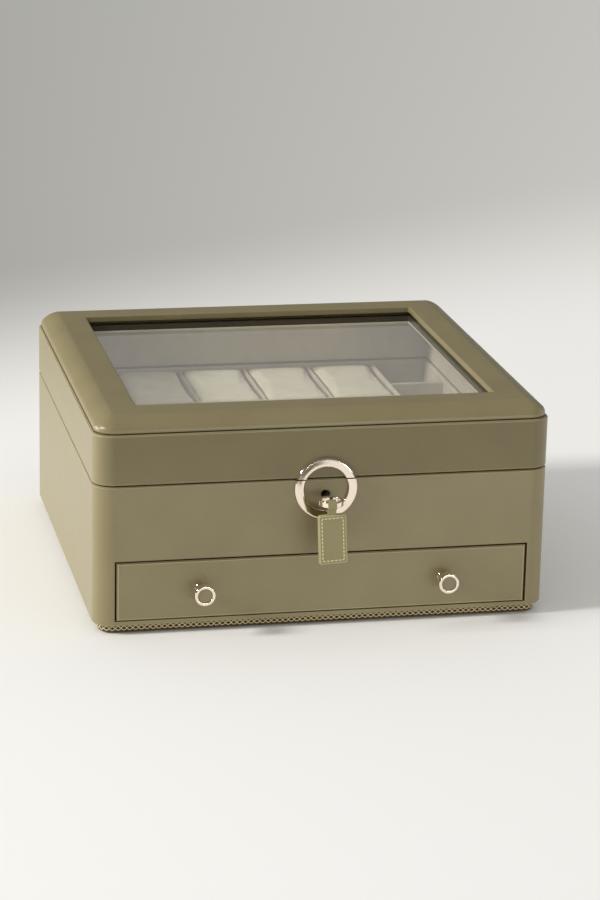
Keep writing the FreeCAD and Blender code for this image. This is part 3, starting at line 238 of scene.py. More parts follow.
def dressed(node, materials, edge, segments):
    """The CAD node's own form, its edges softened over a width of edge.

    The first material covers it, and the second, if any, the softened edges, where a lighter copy
    of the leather is a painted highlight.
    """
    piece = bpy.data.objects.new(node + "_cover", clean_copy(node))
    bpy.context.scene.collection.objects.link(piece)
    piece.data.shade_smooth()
    for material in materials:
        piece.data.materials.append(material)
    bevel = piece.modifiers.new("soft_edges", "BEVEL")
    bevel.width = edge * MM
    bevel.segments = segments
    bevel.limit_method = "ANGLE"
    bevel.angle_limit = math.radians(28)
    bevel.miter_outer = "MITER_ARC"
    bevel.use_clamp_overlap = True
    if len(materials) > 1:
        bevel.material = 1
    weighted = piece.modifiers.new("flat_faces", "WEIGHTED_NORMAL")
    weighted.mode = "FACE_AREA"
    weighted.weight = 50
    return settle(piece, node)


def settle(piece, *nodes, body=None, materials=(), slot=None):
    """Lets a piece ride on a body, and stand for the nodes it replaces."""
    for material in materials:
        piece.data.materials.append(material)
    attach(piece, body or BODY_OF[nodes[0]])
    if nodes:
        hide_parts(*nodes)
    return piece


# ---------------------------------------------------------------- materials

def linear(red, green, blue):
    """A screen colour from 0 to 255, as light."""
    parts = np.array([red, green, blue]) / 255
    light = np.where(parts <= 0.04045, parts / 12.92, ((parts + 0.055) / 1.055) ** 2.4)
    return (*light.tolist(), 1.0)


def shade(colour, share):
    """A colour with its light multiplied."""
    return tuple(c * share for c in colour[:3]) + (1.0,)


class Finish:
    """A material whose shader is fed by patterns in the object's own places."""

    def __init__(self, name, colour, roughness, **sockets):
        self.material = bpy.data.materials.new(name)
        self.material.use_nodes = True
        self.tree = self.material.node_tree
        self.shader = self.tree.nodes["Principled BSDF"]
        self.shader.inputs["Base Color"].default_value = colour
        self.shader.inputs["Roughness"].default_value = roughness
        for socket, value in sockets.items():
            self.shader.inputs[socket.replace("_", " ")].default_value = value
        self.places = self.tree.nodes.new("ShaderNodeTexCoord").outputs["Object"]

    def node(self, kind, **values):
        made = self.tree.nodes.new(kind)
        for key, value in values.items():
            setattr(made, key, value)
        return made

    def link(self, output, target):
        self.tree.links.new(output, target)

    def axes(self):
        """The object's places, as separate X, Y and Z."""
        made = self.node("ShaderNodeSeparateXYZ")
        self.link(self.places, made.inputs["Vector"])
        return made.outputs["X"], made.outputs["Y"], made.outputs["Z"]

    def stretched(self, x, y, z):
        """The object's places, scaled on each axis."""
        made = self.node("ShaderNodeMapping")
        made.inputs["Scale"].default_value = (x, y, z)
        self.link(self.places, made.inputs["Vector"])
        return made.outputs["Vector"]

    def noise(self, size, detail, rough, places=None):
        """Soft noise whose features are about size millimetres across."""
        made = self.node("ShaderNodeTexNoise")
        made.inputs["Scale"].default_value = 1 / (size * MM)
        made.inputs["Detail"].default_value = detail
        made.inputs["Roughness"].default_value = rough
        self.link(places or self.places, made.inputs["Vector"])
        return made.outputs["Fac"]

    def cells(self, size):
        """Distance from the middle of cells size millimetres across."""
        made = self.node("ShaderNodeTexVoronoi", feature="F1")
        made.inputs["Scale"].default_value = 1 / (size * MM)
        self.link(self.places, made.inputs["Vector"])
        return made.outputs["Distance"]

    def math(self, kind, first, second=0.0):
        made = self.node("ShaderNodeMath", operation=kind)
        for socket, value in zip(made.inputs, (first, second)):
            if isinstance(value, (int, float)):
                socket.default_value = value
            else:
                self.link(value, socket)
        return made.outputs["Value"]

    def spread(self, value, low, high, from_low=0.3, from_high=0.7):
        """Maps a value's range to another, held at its ends."""
        made = self.node("ShaderNodeMapRange")
        for key, number in (("From Min", from_low), ("From Max", from_high),
                            ("To Min", low), ("To Max", high)):
            made.inputs[key].default_value = number
        self.link(value, made.inputs["Value"])
        return made.outputs["Result"]

    def tint(self, share, first, second):
        """A colour between two, by share."""
        made = self.node("ShaderNodeMix", data_type="RGBA")
        self.link(share, made.inputs["Factor"])
        for socket, value in (("A", first), ("B", second)):
            target = next(s for s in made.inputs if s.name == socket and s.type == "RGBA")
            if isinstance(value, tuple):
                target.default_value = value
            else:
                self.link(value, target)
        return next(s for s in made.outputs if s.type == "RGBA")

    def paint(self, colour):
        self.link(colour, self.shader.inputs["Base Color"])

    def paint_between(self, share, colour, darkest, lightest):
        """Paints a colour between two shares of its own light."""
        self.paint(self.tint(share, shade(colour, darkest), shade(colour, lightest)))

    def gloss(self, value):
        self.link(value, self.shader.inputs["Roughness"])

    def relief(self, height, depth, strength=1.0):
        """Bump from a height, its full range depth millimetres deep."""
        made = self.node("ShaderNodeBump")
        made.inputs["Strength"].default_value = strength
        made.inputs["Distance"].default_value = depth * MM
        self.link(height, made.inputs["Height"])
        self.link(made.outputs["Normal"], self.shader.inputs["Normal"])


def leather(name, colour, roughness, grain=0.55, depth=0.05):
    """Coated leather: a fine pebble grain, and faint patches of tone and gloss."""
    finish = Finish(name, colour, roughness, Specular_IOR_Level=0.5)
    patches = finish.noise(38, 3, 0.55)
    pebbles = finish.cells(grain)
    pores = finish.noise(grain * 0.6, 3, 0.6)
    tone = finish.math("ADD", finish.spread(patches, 0.0, 0.62),
                       finish.spread(pebbles, 0.38, 0.0, 0.15, 0.75))
    finish.paint_between(tone, colour, 0.93, 1.07)
    finish.gloss(finish.math("ADD", finish.spread(patches, -0.04, 0.04, 0.25, 0.75),
                             finish.spread(pores, roughness - 0.05, roughness + 0.05)))
    height = finish.math("ADD", finish.math("MULTIPLY", pebbles, -0.7),
                         finish.math("MULTIPLY", pores, 0.45))
    finish.relief(height, depth)
    return finish.material


def suede(name, colour):
    """Short-pile cloth: fine nap, brushed lighter and darker patches, and sheen."""
    finish = Finish(name, colour, 0.95, Specular_IOR_Level=0.15, Sheen_Weight=0.55,
                    Sheen_Roughness=0.4)
    brushed = finish.noise(14, 3, 0.6, finish.stretched(1, 1, 0.6))
    nap = finish.noise(0.5, 4, 0.7)
    tone = finish.math("ADD", finish.spread(brushed, 0.0, 0.6), finish.spread(nap, 0.0, 0.4))
    finish.paint_between(tone, colour, 0.86, 1.1)
    finish.relief(finish.math("ADD", nap, finish.math("MULTIPLY", brushed, 0.5)), 0.12)
    return finish.material


def felt(name, colour):
    """Pressed felt: matted fibres without a direction."""
    finish = Finish(name, colour, 1.0, Specular_IOR_Level=0.1, Sheen_Weight=0.3)
    fibres = finish.noise(0.7, 5, 0.75)
    clumps = finish.noise(4.5, 3, 0.6)
    tone = finish.math("ADD", finish.spread(fibres, 0.0, 0.6), finish.spread(clumps, 0.0, 0.4))
    finish.paint_between(tone, colour, 0.75, 1.35)
    finish.relief(fibres, 0.25)
    return finish.material


def fibre_board(name, colour):
    """Fibre board: pressed chips too small to see apart, and a sanded face."""
    finish = Finish(name, colour, 0.7, Specular_IOR_Level=0.3)
    fibres = finish.noise(1.1, 5, 0.7, finish.stretched(1, 0.35, 1))
    clouds = finish.noise(26, 2, 0.5)
    tone = finish.math("ADD", finish.spread(fibres, 0.0, 0.65), finish.spread(clouds, 0.0, 0.35))
    finish.paint_between(tone, colour, 0.82, 1.12)
    finish.relief(fibres, 0.06)
    return finish.material


def metal(name, colour, roughness, brushed=False):
    """Plated metal: fine polishing lines or a haze, and a slight unevenness."""
    finish = Finish(name, colour, roughness, Metallic=1.0)
    haze = finish.noise(5, 3, 0.6)
    if brushed:
        lines = finish.noise(0.4, 3, 0.6, finish.stretched(0.04, 1, 1))
        finish.relief(lines, 0.01)
        finish.gloss(finish.math("ADD", finish.spread(lines, -0.06, 0.06),
                                 finish.spread(haze, roughness - 0.04, roughness + 0.04)))
    else:
        finish.gloss(finish.spread(haze, roughness - 0.03, roughness + 0.05))
        finish.relief(haze, 0.02, 0.4)
    finish.paint_between(haze, colour, 0.94, 1.04)
    return finish.material


def tape_weave(name, colour):
    """Woven tape: warp threads every 0.55 mm along the band, weft every 0.6 mm up it."""
    finish = Finish(name, colour, 0.85, Specular_IOR_Level=0.2, Sheen_Weight=0.2)
    x, y, z = finish.axes()
    along = finish.math("ADD", x, y)
    warp = finish.math("SINE", finish.math("MULTIPLY", along, math.tau / (0.55 * MM)))
    weft = finish.math("SINE", finish.math("MULTIPLY", z, math.tau / (0.6 * MM)))
    weave = finish.math("MULTIPLY", warp, weft)
    worn = finish.noise(3, 3, 0.6)
    tone = finish.math("ADD", finish.spread(weave, 0.0, 0.5, -1, 1), finish.spread(worn, 0.0, 0.5))
    finish.paint_between(tone, colour, 0.7, 1.3)
    finish.relief(weave, 0.05)
    return finish.material


def thread(name, colour):
    """Twisted sewing thread."""
    finish = Finish(name, colour, 0.7, Specular_IOR_Level=0.3, Sheen_Weight=0.3)
    twist = finish.noise(0.25, 2, 0.5)
    finish.paint_between(twist, colour, 0.8, 1.1)
    finish.relief(twist, 0.04)
    return finish.material


def window_glass(name, colour, clear_from, clear_by):
    """Clear glass that lets lamps through: more mirror the flatter it is seen.

    Its mirror's share is (0.04 + 0.9 f^5) e, where f grows from 0 seen straight
    on to 1 seen along the pane, and e falls from 1 to 0.08 between two places
    along Y, toward the rear edge: a painted dark band in the mirror there, for the
    shaded back wall that the pane mirrors.
    """
    straight_on, flat_on, painted_shade_at_edge = 0.04, 0.9, 0.08
    material = bpy.data.materials.new(name)
    material.use_nodes = True
    tree = material.node_tree
    tree.nodes.clear()
    out = tree.nodes.new("ShaderNodeOutputMaterial")
    mix = tree.nodes.new("ShaderNodeMixShader")
    clear = tree.nodes.new("ShaderNodeBsdfTransparent")
    mirror = tree.nodes.new("ShaderNodeBsdfGlossy")
    facing = tree.nodes.new("ShaderNodeLayerWeight")
    clear.inputs["Color"].default_value = colour
    mirror.inputs["Color"].default_value = (1, 0.985, 0.95, 1)
    mirror.inputs["Roughness"].default_value = 0.0
    facing.inputs["Blend"].default_value = 0.5
    steep, share, mirror_share_with_painted_shade = (tree.nodes.new("ShaderNodeMath") for _ in range(3))
    steep.operation, share.operation, mirror_share_with_painted_shade.operation = "POWER", "MULTIPLY_ADD", "MULTIPLY"
    steep.inputs[1].default_value = 5.0
    share.inputs[1].default_value = flat_on
    share.inputs[2].default_value = straight_on
    places = tree.nodes.new("ShaderNodeTexCoord")
    parts = tree.nodes.new("ShaderNodeSeparateXYZ")
    # Painted shade in the mirror: its share falls toward the rear edge.
    edge = tree.nodes.new("ShaderNodeMapRange")
    for key, number in (("From Min", clear_from * MM), ("From Max", clear_by * MM),
                        ("To Min", 1.0), ("To Max", painted_shade_at_edge)):
        edge.inputs[key].default_value = number
    for output, target in ((facing.outputs["Facing"], steep.inputs[0]),
                           (steep.outputs["Value"], share.inputs[0]),
                           (places.outputs["Object"], parts.inputs["Vector"]),
                           (parts.outputs["Y"], edge.inputs["Value"]),
                           (edge.outputs["Result"], mirror_share_with_painted_shade.inputs[0]),
                           (share.outputs["Value"], mirror_share_with_painted_shade.inputs[1]),
                           (mirror_share_with_painted_shade.outputs["Value"], mix.inputs["Fac"]),
                           (clear.outputs["BSDF"], mix.inputs[1]),
                           (mirror.outputs["BSDF"], mix.inputs[2]),
                           (mix.outputs["Shader"], out.inputs["Surface"])):
        tree.links.new(output, target)
    return material


olive = leather("olive_leather", linear(133, 122, 88), 0.33)
# A lighter copy of the olive leather for the softened edges: a painted highlight along them.
olive_edge_highlight = leather("olive_leather_edge_highlight", linear(172, 162, 126), 0.36)
olive_tag = leather("tag_leather", linear(142, 134, 94), 0.55, 0.6, 0.06)
# A lighter copy of the tag leather for its softened edges: a painted highlight along them.
olive_tag_edge_highlight = leather("tag_leather_edge_highlight", linear(170, 163, 122), 0.5, 0.6, 0.06)
inset_leather = leather("inset_leather", linear(134, 124, 92), 0.5, 0.5, 0.08)
# Dark leather for the glass retainer: painted shade for the dark band under the glass.
retainer_painted_shade = leather("retainer_painted_shade", linear(60, 54, 37), 0.55)
lining = suede("lining_suede", linear(208, 199, 180))
pillow_cloth = suede("pillow_suede", linear(236, 230, 206))
under_felt = felt("felt", linear(66, 60, 48))
board = fibre_board("board", linear(176, 152, 120))
rose_gold = metal("rose_gold", linear(254, 240, 223), 0.08)
dark_bronze = metal("dark_bronze", linear(74, 62, 52), 0.3)
hinge_brass = metal("hinge_brass", linear(216, 190, 150), 0.28, True)
steel = metal("steel", linear(182, 180, 174), 0.34, True)
tape = tape_weave("woven_tape", linear(74, 60, 34))
cream = thread("cream_thread", linear(222, 206, 160))
glass = window_glass("glass", (0.97, 0.965, 0.95, 1.0), 84.5, 88.0)

SLOT_MATERIAL = {
    "olive_leather": olive, "tag_leather": olive_tag, "board": board,
    "lining_suede": lining, "pillow_suede": pillow_cloth, "felt": under_felt,
    "woven_tape": tape, "glass": glass, "rose_gold": rose_gold,
    "dark_bronze": dark_bronze, "hinge_brass": hinge_brass, "steel": steel,
}


# ---------------------------------------------------------------- case and lid

def shoulder_profile(steps=14):
    """Insets and heights over the cap's shoulder, from its foot to its crease.

    Two arcs meet tangent at half a right angle. With width w, height h and
    crease angle c, their radii r, R solve
    r (1 - cos 45) + R (cos 45 - cos c) = w and r sin 45 + R (sin c - sin 45) = h.
    """
    width, height, half, crease = 12.1, 9.0, math.pi / 4, math.radians(80)
    small, large = np.linalg.solve(
        [[1 - math.cos(half), math.cos(half) - math.cos(crease)],
         [math.sin(half), math.sin(crease) - math.sin(half)]], [width, height])
    low = np.linspace(0, half, steps // 2, endpoint=False)
    high = np.linspace(half, crease, steps)
    inset = np.concatenate([small * (1 - np.cos(low)), small * (1 - math.cos(half))
                            + large * (math.cos(half) - np.cos(high))])
    rise = np.concatenate([small * np.sin(low), small * math.sin(half)
                           + large * (np.sin(high) - math.sin(half))])
    return np.stack([inset, rise], axis=1)


def cap_cover():
    """The cap: its shoulder, flat frame and window edge in one closed skin.

    P(a, k) = (loop of half sizes X - d_k, Y - e_k and corner r_k at a, z_k), with
    the section k going up the shoulder, in to the window, down and back outside.
    """
    low, high = box_mm("lid_cap_frame")
    half_x, half_y, top, foot = high[0], high[1], high[2], low[2]
    glass_top = box_mm("glass_pane")[1][2]
    corner, eased = 13.0, 0.35
    seam = foot + 0.8
    frame_x, frame_y, window_corner = 29.8, 30.4, 0.7
    rebate_x, rebate_y = frame_x - 6.0, frame_y - 6.0
    inside, inside_corner = 2.6, 10.4
    sections = [(eased, eased, seam, corner - eased), (0.1, 0.1, seam + 0.1, corner - 0.1),
                (0.0, 0.0, seam + eased, corner)]
    sections += [(inset, inset, seam + 1.0 + rise, corner - inset)
                 for inset, rise in shoulder_profile()]
    inset, _, z, _ = sections.pop()
    sections += [(inset - eased, inset - eased, z - 0.06, 1.25),
                 (12.6, 12.6, top, 0.9), (14.5, 14.5, top, 0.9)]
    edge = rounded_path([(2.5, top), (0, top), (0, top - 3)], [0.9], 5)
    sections += [(frame_x - out, frame_y - out, z, window_corner + out * 0.3)
                 for out, z in edge]
    sections += [(frame_x, frame_y, glass_top, window_corner),
                 (rebate_x, rebate_y, glass_top, window_corner),
                 (rebate_x, rebate_y, foot, window_corner),
                 (inside, inside, foot, inside_corner), (inside, inside, seam, inside_corner)]
    rows = [level_loop(half_x - inset_x, half_y - inset_y, radius, z)
            for inset_x, inset_y, z, radius in sections]
    piece = sheet_piece("cap_cover", np.array(rows), (True, True), sharp_angle=45)
    return settle(piece, "lid_cap_frame", materials=[olive])


# ---------------------------------------------------------------- metal parts

def on_both_knobs(section):
    """A turned section at each knob's place."""
    return [turned(section, (sign * KNOB_X, FACE_Y, KNOB_Z)) for sign in (-1, 1)]


def knob_pair():
    """Two turned knobs: a foot, a straight stem and a disc dished for its leather."""
    foot, stem, disc, dish = 4.2, 3.9, 6.75, 4.75
    neck, face, dish_floor = -10.2, -15.5, -14.6
    section = rounded_path(
        [(foot, 0), (foot, -0.9), (stem, -1.1), (stem, neck), (disc, neck - 0.5), (disc, face),
         (dish, face), (dish, dish_floor), (1.0, dish_floor)],
        [0.3, 0.15, 0.9, 0.9, 0.75, 0.4, 0.1])
    piece = sheet_piece("knob_turnings", on_both_knobs(section), (False, True), True, 35)
    return settle(piece, "knobs", materials=[rose_gold])


def knob_leathers():
    """The grained leather discs let into the knobs, their edges pressed down.

    At a share s of the radius the face stands 0.3 (1 - s^6) proud of its edge.
    """
    radius, back, edge, swell = 4.68, -14.6, -14.95, 0.3
    out = np.linspace(1, 0.02, 14)
    crown = np.column_stack([radius * out, edge - swell * (1 - out ** 6)])
    section = np.vstack([[(radius, back)], crown])
    piece = sheet_piece("knob_leathers", on_both_knobs(section), (False, True), True, 50)
    return settle(piece, "knob_insets", materials=[inset_leather])


def ring_half(name, node, start, stop):
    """Half of the split ring, a low crown between two eased edges.

    P(t, k) = centre + r_k (cos a, sin a), y_k, where a runs with t from start
    to stop, each worked out from r_k so that the ends are level.
    """
    inner, middle, outer = 14.6, 17.5, 20.5
    section = rounded_path(
        [(middle, 0), (outer, 0), (outer, -1.8), (19.8, -2.38), (17.4, -2.5), (14.95, -2.42),
         (inner, -2.1), (inner, 0), (middle, 0)], [0.1, 0.3, 0.6, 2.0, 0.2, 0.2, 0.1])[:-1]
    radius, depth = section[:, 0], section[:, 1]
    share = np.linspace(0, 1, 97)[:, None]
    angle = start(radius) + share * (stop(radius) - start(radius))
    grid = np.stack([radius * np.cos(angle), np.broadcast_to(FACE_Y + depth, angle.shape),
                     LOCK_Z + radius * np.sin(angle)], axis=-1)
    piece = sheet_piece(name, grid, (False, True), True, 50)
    return settle(piece, node, materials=[rose_gold])


def split_ring():
    """The ring round the keyhole, parted where the lid meets the case."""
    def low(radius):
        return np.arcsin((PARTING_LOW - LOCK_Z) / radius)

    def high(radius):
        return np.arcsin((PARTING_HIGH - LOCK_Z) / radius)
    ring_half("ring_lower_half", "escutcheon_lower",
              lambda r: np.pi - low(r), lambda r: 2 * np.pi + low(r))
    ring_half("ring_upper_half", "escutcheon_upper", high, lambda r: np.pi - high(r))


def key_ring():
    """The key's bow: a flat level hoop, seen nearly edge-on, with rolled edges."""
    inner, outer, half_height = 6.0, 7.9, 1.9
    section = closed_path([(inner, -half_height), (outer, -half_height),
                           (outer, half_height), (inner, half_height)], 0.6, 6)
    piece = sheet_piece("key_hoop", turned(section, BOW_PLACE, "Z", 128), (True, True),
                        sharp_angle=50)
    return settle(piece, "key_bow", materials=[rose_gold])


def screw_form(spot, axis, radius, sink, shank, turn):
    """A slotted screw: a shank and under-head, and two half discs beside the slot.

    axis points out of the head. Each half disc is r (cos a, sin a) above the slot.
    """
    length, slot_depth, rim, slot = 6.0, 0.45, 0.12, 0.16
    axis = np.asarray(axis, float)
    side = np.cross(axis, (1, 0, 0) if abs(axis[0]) < 0.5 else (0, 1, 0))
    other = np.cross(axis, side)
    u = math.cos(turn) * side + math.sin(turn) * other
    v = np.cross(axis, u)

    def places(flat, height):
        return np.asarray(spot, float) + flat[:, :1] * u + flat[:, 1:] * v + height * axis
    angle = np.linspace(0, 2 * np.pi, 24, endpoint=False)
    round_out = np.column_stack([np.cos(angle), np.sin(angle)])
    under = [places(r * round_out, h) for r, h in
             ((shank, -length), (shank, -sink), (radius, -0.25 * sink), (radius, -slot_depth))]
    lean = math.asin(slot)
    arc = np.linspace(lean, np.pi - lean, 17)
    halves = []
    for sign in (1, -1):
        outline = sign * np.column_stack([np.cos(arc), np.sin(arc)])
        halves.append(np.array([places(r * outline, h) for r, h in (
            (radius, -slot_depth), (radius, -rim), (radius - rim, 0.0))]))
    return np.array(under), halves


def screw_piece(name, node, spots, axis, radius, sink, shank):
    """All the screws of one node, each turned a little further than the last."""
    under, halves = [], []
    for i, spot in enumerate(spots):
        body, head = screw_form(spot, axis, radius, sink, shank, 0.4 + 0.9 * i)
        under.append(body)
        halves += head
    piece = sheet_piece(name, under + halves, (False, True), True, 30)
    return settle(piece, node, materials=[steel])


def screws():
    """The hinge, lock and knob screws."""
    hinge_x = [middle + way for middle in (-90, 90) for way in (-12, 12)]
    hinge_y, lock_y, plate_x, drawer_y = 142.25, -140.25, 17.4, -135.15
    small, large = (2.0, 0.9, 1.1), (3.3, 2.2, 1.7)
    for name, node, xs, y, z, up in (
            ("lower_screw_heads", "hinge_screws_lower", hinge_x, hinge_y, SCREWS_LOW, 1),
            ("upper_screw_heads", "hinge_screws_upper", hinge_x, hinge_y, SCREWS_HIGH, -1),
            ("lock_screw_heads", "lock_screws", (-plate_x, plate_x), lock_y, SCREWS_LOW, 1),
            ("strike_screw_heads", "strike_screws", (-plate_x, plate_x), lock_y,
             SCREWS_HIGH, -1)):
        screw_piece(name, node, [(x, y, z) for x in xs], (0, 0, up), *small)
    screw_piece("knob_screw_heads", "knob_screws",
                [(x, drawer_y, KNOB_Z) for x in (-KNOB_X, KNOB_X)], (0, 1, 0), *large)


# ---------------------------------------------------------------- tag and tape

def tube(path, across, over, width, height, sides=8):
    """Places of a thread: an oval of given half sizes carried along a path.

    P(i, b) = path_i + width w_i cos b across_i + height w_i sin b over_i, with w
    narrowing to the ends as 1 - 0.75 s^6 for s from -1 to 1.
    """
    narrow = (1 - 0.75 * np.linspace(-1, 1, len(path)) ** 6)[:, None, None]
    return oval_sweep(path, across, over, width * narrow, height * narrow, sides)


def oval_sweep(path, across, over, width, height, sides):
    """P(i, b) = path_i + width cos b across_i + height sin b over_i."""
    angle = np.linspace(0, 2 * np.pi, sides, endpoint=False)[None, :, None]
    return (path[:, None, :] + width * np.cos(angle) * across[:, None, :]
            + height * np.sin(angle) * over[:, None, :])


def along_loop(half_x, half_y, radius, share):
    """At shares of a rounded rectangle: places, directions, outward normals, and its length."""
    loop = loop_around(half_x, half_y, radius, 24)
    loop = np.vstack([loop, loop[:1]])
    run = np.concatenate([[0], np.cumsum(np.linalg.norm(np.diff(loop, axis=0), axis=1))])
    at = np.mod(share, 1) * run[-1]
    place = np.column_stack([np.interp(at, run, loop[:, k]) for k in (0, 1)])
    ahead = np.mod(at + 0.05, run[-1])
    step = np.column_stack([np.interp(ahead, run, loop[:, k]) for k in (0, 1)]) - place
    step /= np.linalg.norm(step, axis=1, keepdims=True)
    return place, step, np.column_stack([step[:, 1], -step[:, 0]]), run[-1]


def tag_stitches():
    """Thirty-two cream stitches round each face of the tag, half sunk in it.

    Each is a tube that bows out by 0.1 (1 - s^2) over its length, s from -1 to 1.
    """
    lean, count, knots = math.radians(3), 32, 9
    row_x, row_z, row_corner, middle_z = 6.9, 14.25, 0.9, -22.65
    face_y, bow, long_half, thread_width, thread_height = 1.58, 0.10, 0.36, 0.36, 0.2
    bowed = bow * (1 - np.linspace(-1, 1, knots) ** 2)
    still = np.zeros(knots)
    grids = []
    for i in range(count):
        share = (i + 0.5) / count + np.linspace(-long_half, long_half, knots) / count
        flat, _, out, _ = along_loop(row_x, row_z, row_corner, share)
        for side in (-1, 1):
            path = np.column_stack([flat[:, 0], side * (face_y + bowed), flat[:, 1] + middle_z])
            across = np.column_stack([out[:, 0], still, out[:, 1]])
            over = np.tile([0.0, side, 0.0], (knots, 1))
            x, y, z = np.moveaxis(tube(path, across, over, thread_width, thread_height), -1, 0)
            grids.append(np.stack([x * math.cos(lean) - z * math.sin(lean), y,
                                   x * math.sin(lean) + z * math.cos(lean)], axis=-1) + TAG_HANG)
    piece = sheet_piece("tag_stitches", grids, (False, True), True, 60)
    return settle(piece, body="tag", materials=[cream], slot="tag_leather")


def plinth_band():
    """The woven tape round the plinth, its edges rolled: a section carried round it."""
    thick, low, high = 0.6, 1.2, 6.0
    section = closed_path([(0.0, low), (0.0, high), (thick, high), (thick, low)], 0.22, 4)
    half_x, half_y, corner = TAPE_LOOP
    rows = [level_loop(half_x - inset, half_y - inset, corner - inset, z)
            for inset, z in section]
    piece = sheet_piece("plinth_band", np.array(rows), (True, True), sharp_angle=50)
    return settle(piece, "plinth_tape", materials=[tape])


def plinth_braid():
    """Two cream yarns that cross along the tape and make a row of lozenges.

    Each runs at z = 3.6 + 1.3 sin(2 pi n s + p), s the share of the way round, and
    stands 0.08 + 0.07 cos(2 pi n s + p) off the tape, so one passes over the other.
    """
    turns, per_turn = 150, 12
    middle, swing, yarn_width, yarn_height = 3.6, 1.3, 0.26, 0.16
    share = np.linspace(0, 1, turns * per_turn, endpoint=False)
    place, step, out, total = along_loop(*TAPE_LOOP, share)
    over = np.column_stack([out, np.zeros(len(out))])
    grids = []
    for phase in (0.0, np.pi):
        wave = 2 * np.pi * turns * share + phase
        lift = 0.08 + 0.07 * np.cos(wave)
        path = np.column_stack([place + out * lift[:, None], middle + swing * np.sin(wave)])
        slope = swing * np.cos(wave) * 2 * np.pi * turns / total
        size = np.hypot(slope, 1)
        across = np.column_stack([-step * (slope / size)[:, None], 1 / size])
        grids.append(oval_sweep(path, across, over, yarn_width, yarn_height, 6))
    piece = sheet_piece("plinth_braid", grids, (True, True), sharp_angle=80)
    return settle(piece, body="base", materials=[cream], slot="woven_tape")


# ---------------------------------------------------------------- soft parts

def mesh_places(mesh):
    """A mesh's places as rows of three, in metres."""
    places = np.empty(len(mesh.vertices) * 3)
    mesh.vertices.foreach_get("co", places)
    return places.reshape(-1, 3)


def baked(piece):
    """Takes on the result of the piece's modifiers as its own mesh."""
    bpy.context.view_layer.update()
    ready = piece.evaluated_get(bpy.context.evaluated_depsgraph_get())
    mesh = bpy.data.meshes.new_from_object(ready)
    piece.modifiers.clear()
    piece.data = mesh
    return mesh


def swollen(piece, voxel, pressure, most):
    """Blows a closed piece up as cloth, and holds each point's way to at most most."""
    frames = 20
    remesh = piece.modifiers.new("even_faces", "REMESH")
    remesh.mode = "VOXEL"
    remesh.voxel_size = voxel * MM
    mesh = baked(piece)
    before = mesh_places(mesh)
    cloth = piece.modifiers.new("swell", "CLOTH")
    cloth.settings.quality = 6
    cloth.settings.use_pressure = True
    cloth.settings.uniform_pressure_force = pressure
    cloth.settings.effector_weights.gravity = 0
    cloth.point_cache.frame_start, cloth.point_cache.frame_end = 1, frames
    for number in range(1, frames + 1):
        bpy.context.scene.frame_set(number)
    after = mesh_places(piece.evaluated_get(bpy.context.evaluated_depsgraph_get()).data)
    bpy.context.scene.frame_set(1)
    piece.modifiers.clear()
    way = after - before
    length = np.linalg.norm(way, axis=1, keepdims=True)
    way *= np.minimum(1, most * MM / np.maximum(length, 1e-9))
    piece.data.vertices.foreach_set("co", (before + way).ravel())
    smoother = piece.modifiers.new("finer", "SUBSURF")
    smoother.levels = smoother.render_levels = 1
    return baked(piece)


def watch_pillows():
    """Four plump watch pillows, one of them blown up as cloth and then copied.

    It starts as x, y, z = a c(u)^e c(v)^e, b c(u)^e s(v)^e, h s(u)^e, a rounded
    box, where c and s are cosine and sine and the power e keeps their sign. Near
    each end a seam draws it in by 0.022 exp(-(d / 1.3)^2), d the way from the seam.
    """
    def power(value):
        return np.sign(value) * np.abs(value) ** 0.12
    low, high = box_mm("pillow_1")
    half = (high - low) / 2
    u = np.linspace(-np.pi / 2 + 0.02, np.pi / 2 - 0.02, 41)[:, None]
    v = np.linspace(0, 2 * np.pi, 96, endpoint=False)
    a, b, h = half - (0.7, 0.7, 0.9)
    grid = np.stack([a * power(np.cos(u)) * power(np.cos(v)),
                     b * power(np.cos(u)) * power(np.sin(v)),
                     h * power(np.sin(u)) * np.ones_like(v)], axis=-1)
    first = sheet_piece("pillow_1_cushion", grid, (False, True), True)
    mesh = swollen(first, voxel=2.1, pressure=4.0, most=1.2)
    places = mesh_places(mesh) / MM
    places *= (half - 0.1) / np.abs(places).max(axis=0)
    seam_y, seam_width, seam_depth = 0.8 * half[1], 1.3, 0.022
    seam = np.exp(-((np.abs(places[:, 1]) - seam_y) / seam_width) ** 2)
    places[:, [0, 2]] *= (1 - seam_depth * seam)[:, None]
    for number in range(1, 5):
        low, high = box_mm(f"pillow_{number}")
        piece = first
        if number > 1:
            piece = bpy.data.objects.new(f"pillow_{number}_cushion", mesh.copy())
            bpy.context.scene.collection.objects.link(piece)
        moved = (places + (low + high) / 2) * MM
        piece.data.vertices.foreach_set("co", moved.ravel())
        piece.data.update()
        piece.data.shade_smooth()
        settle(piece, f"pillow_{number}", materials=[pillow_cloth])


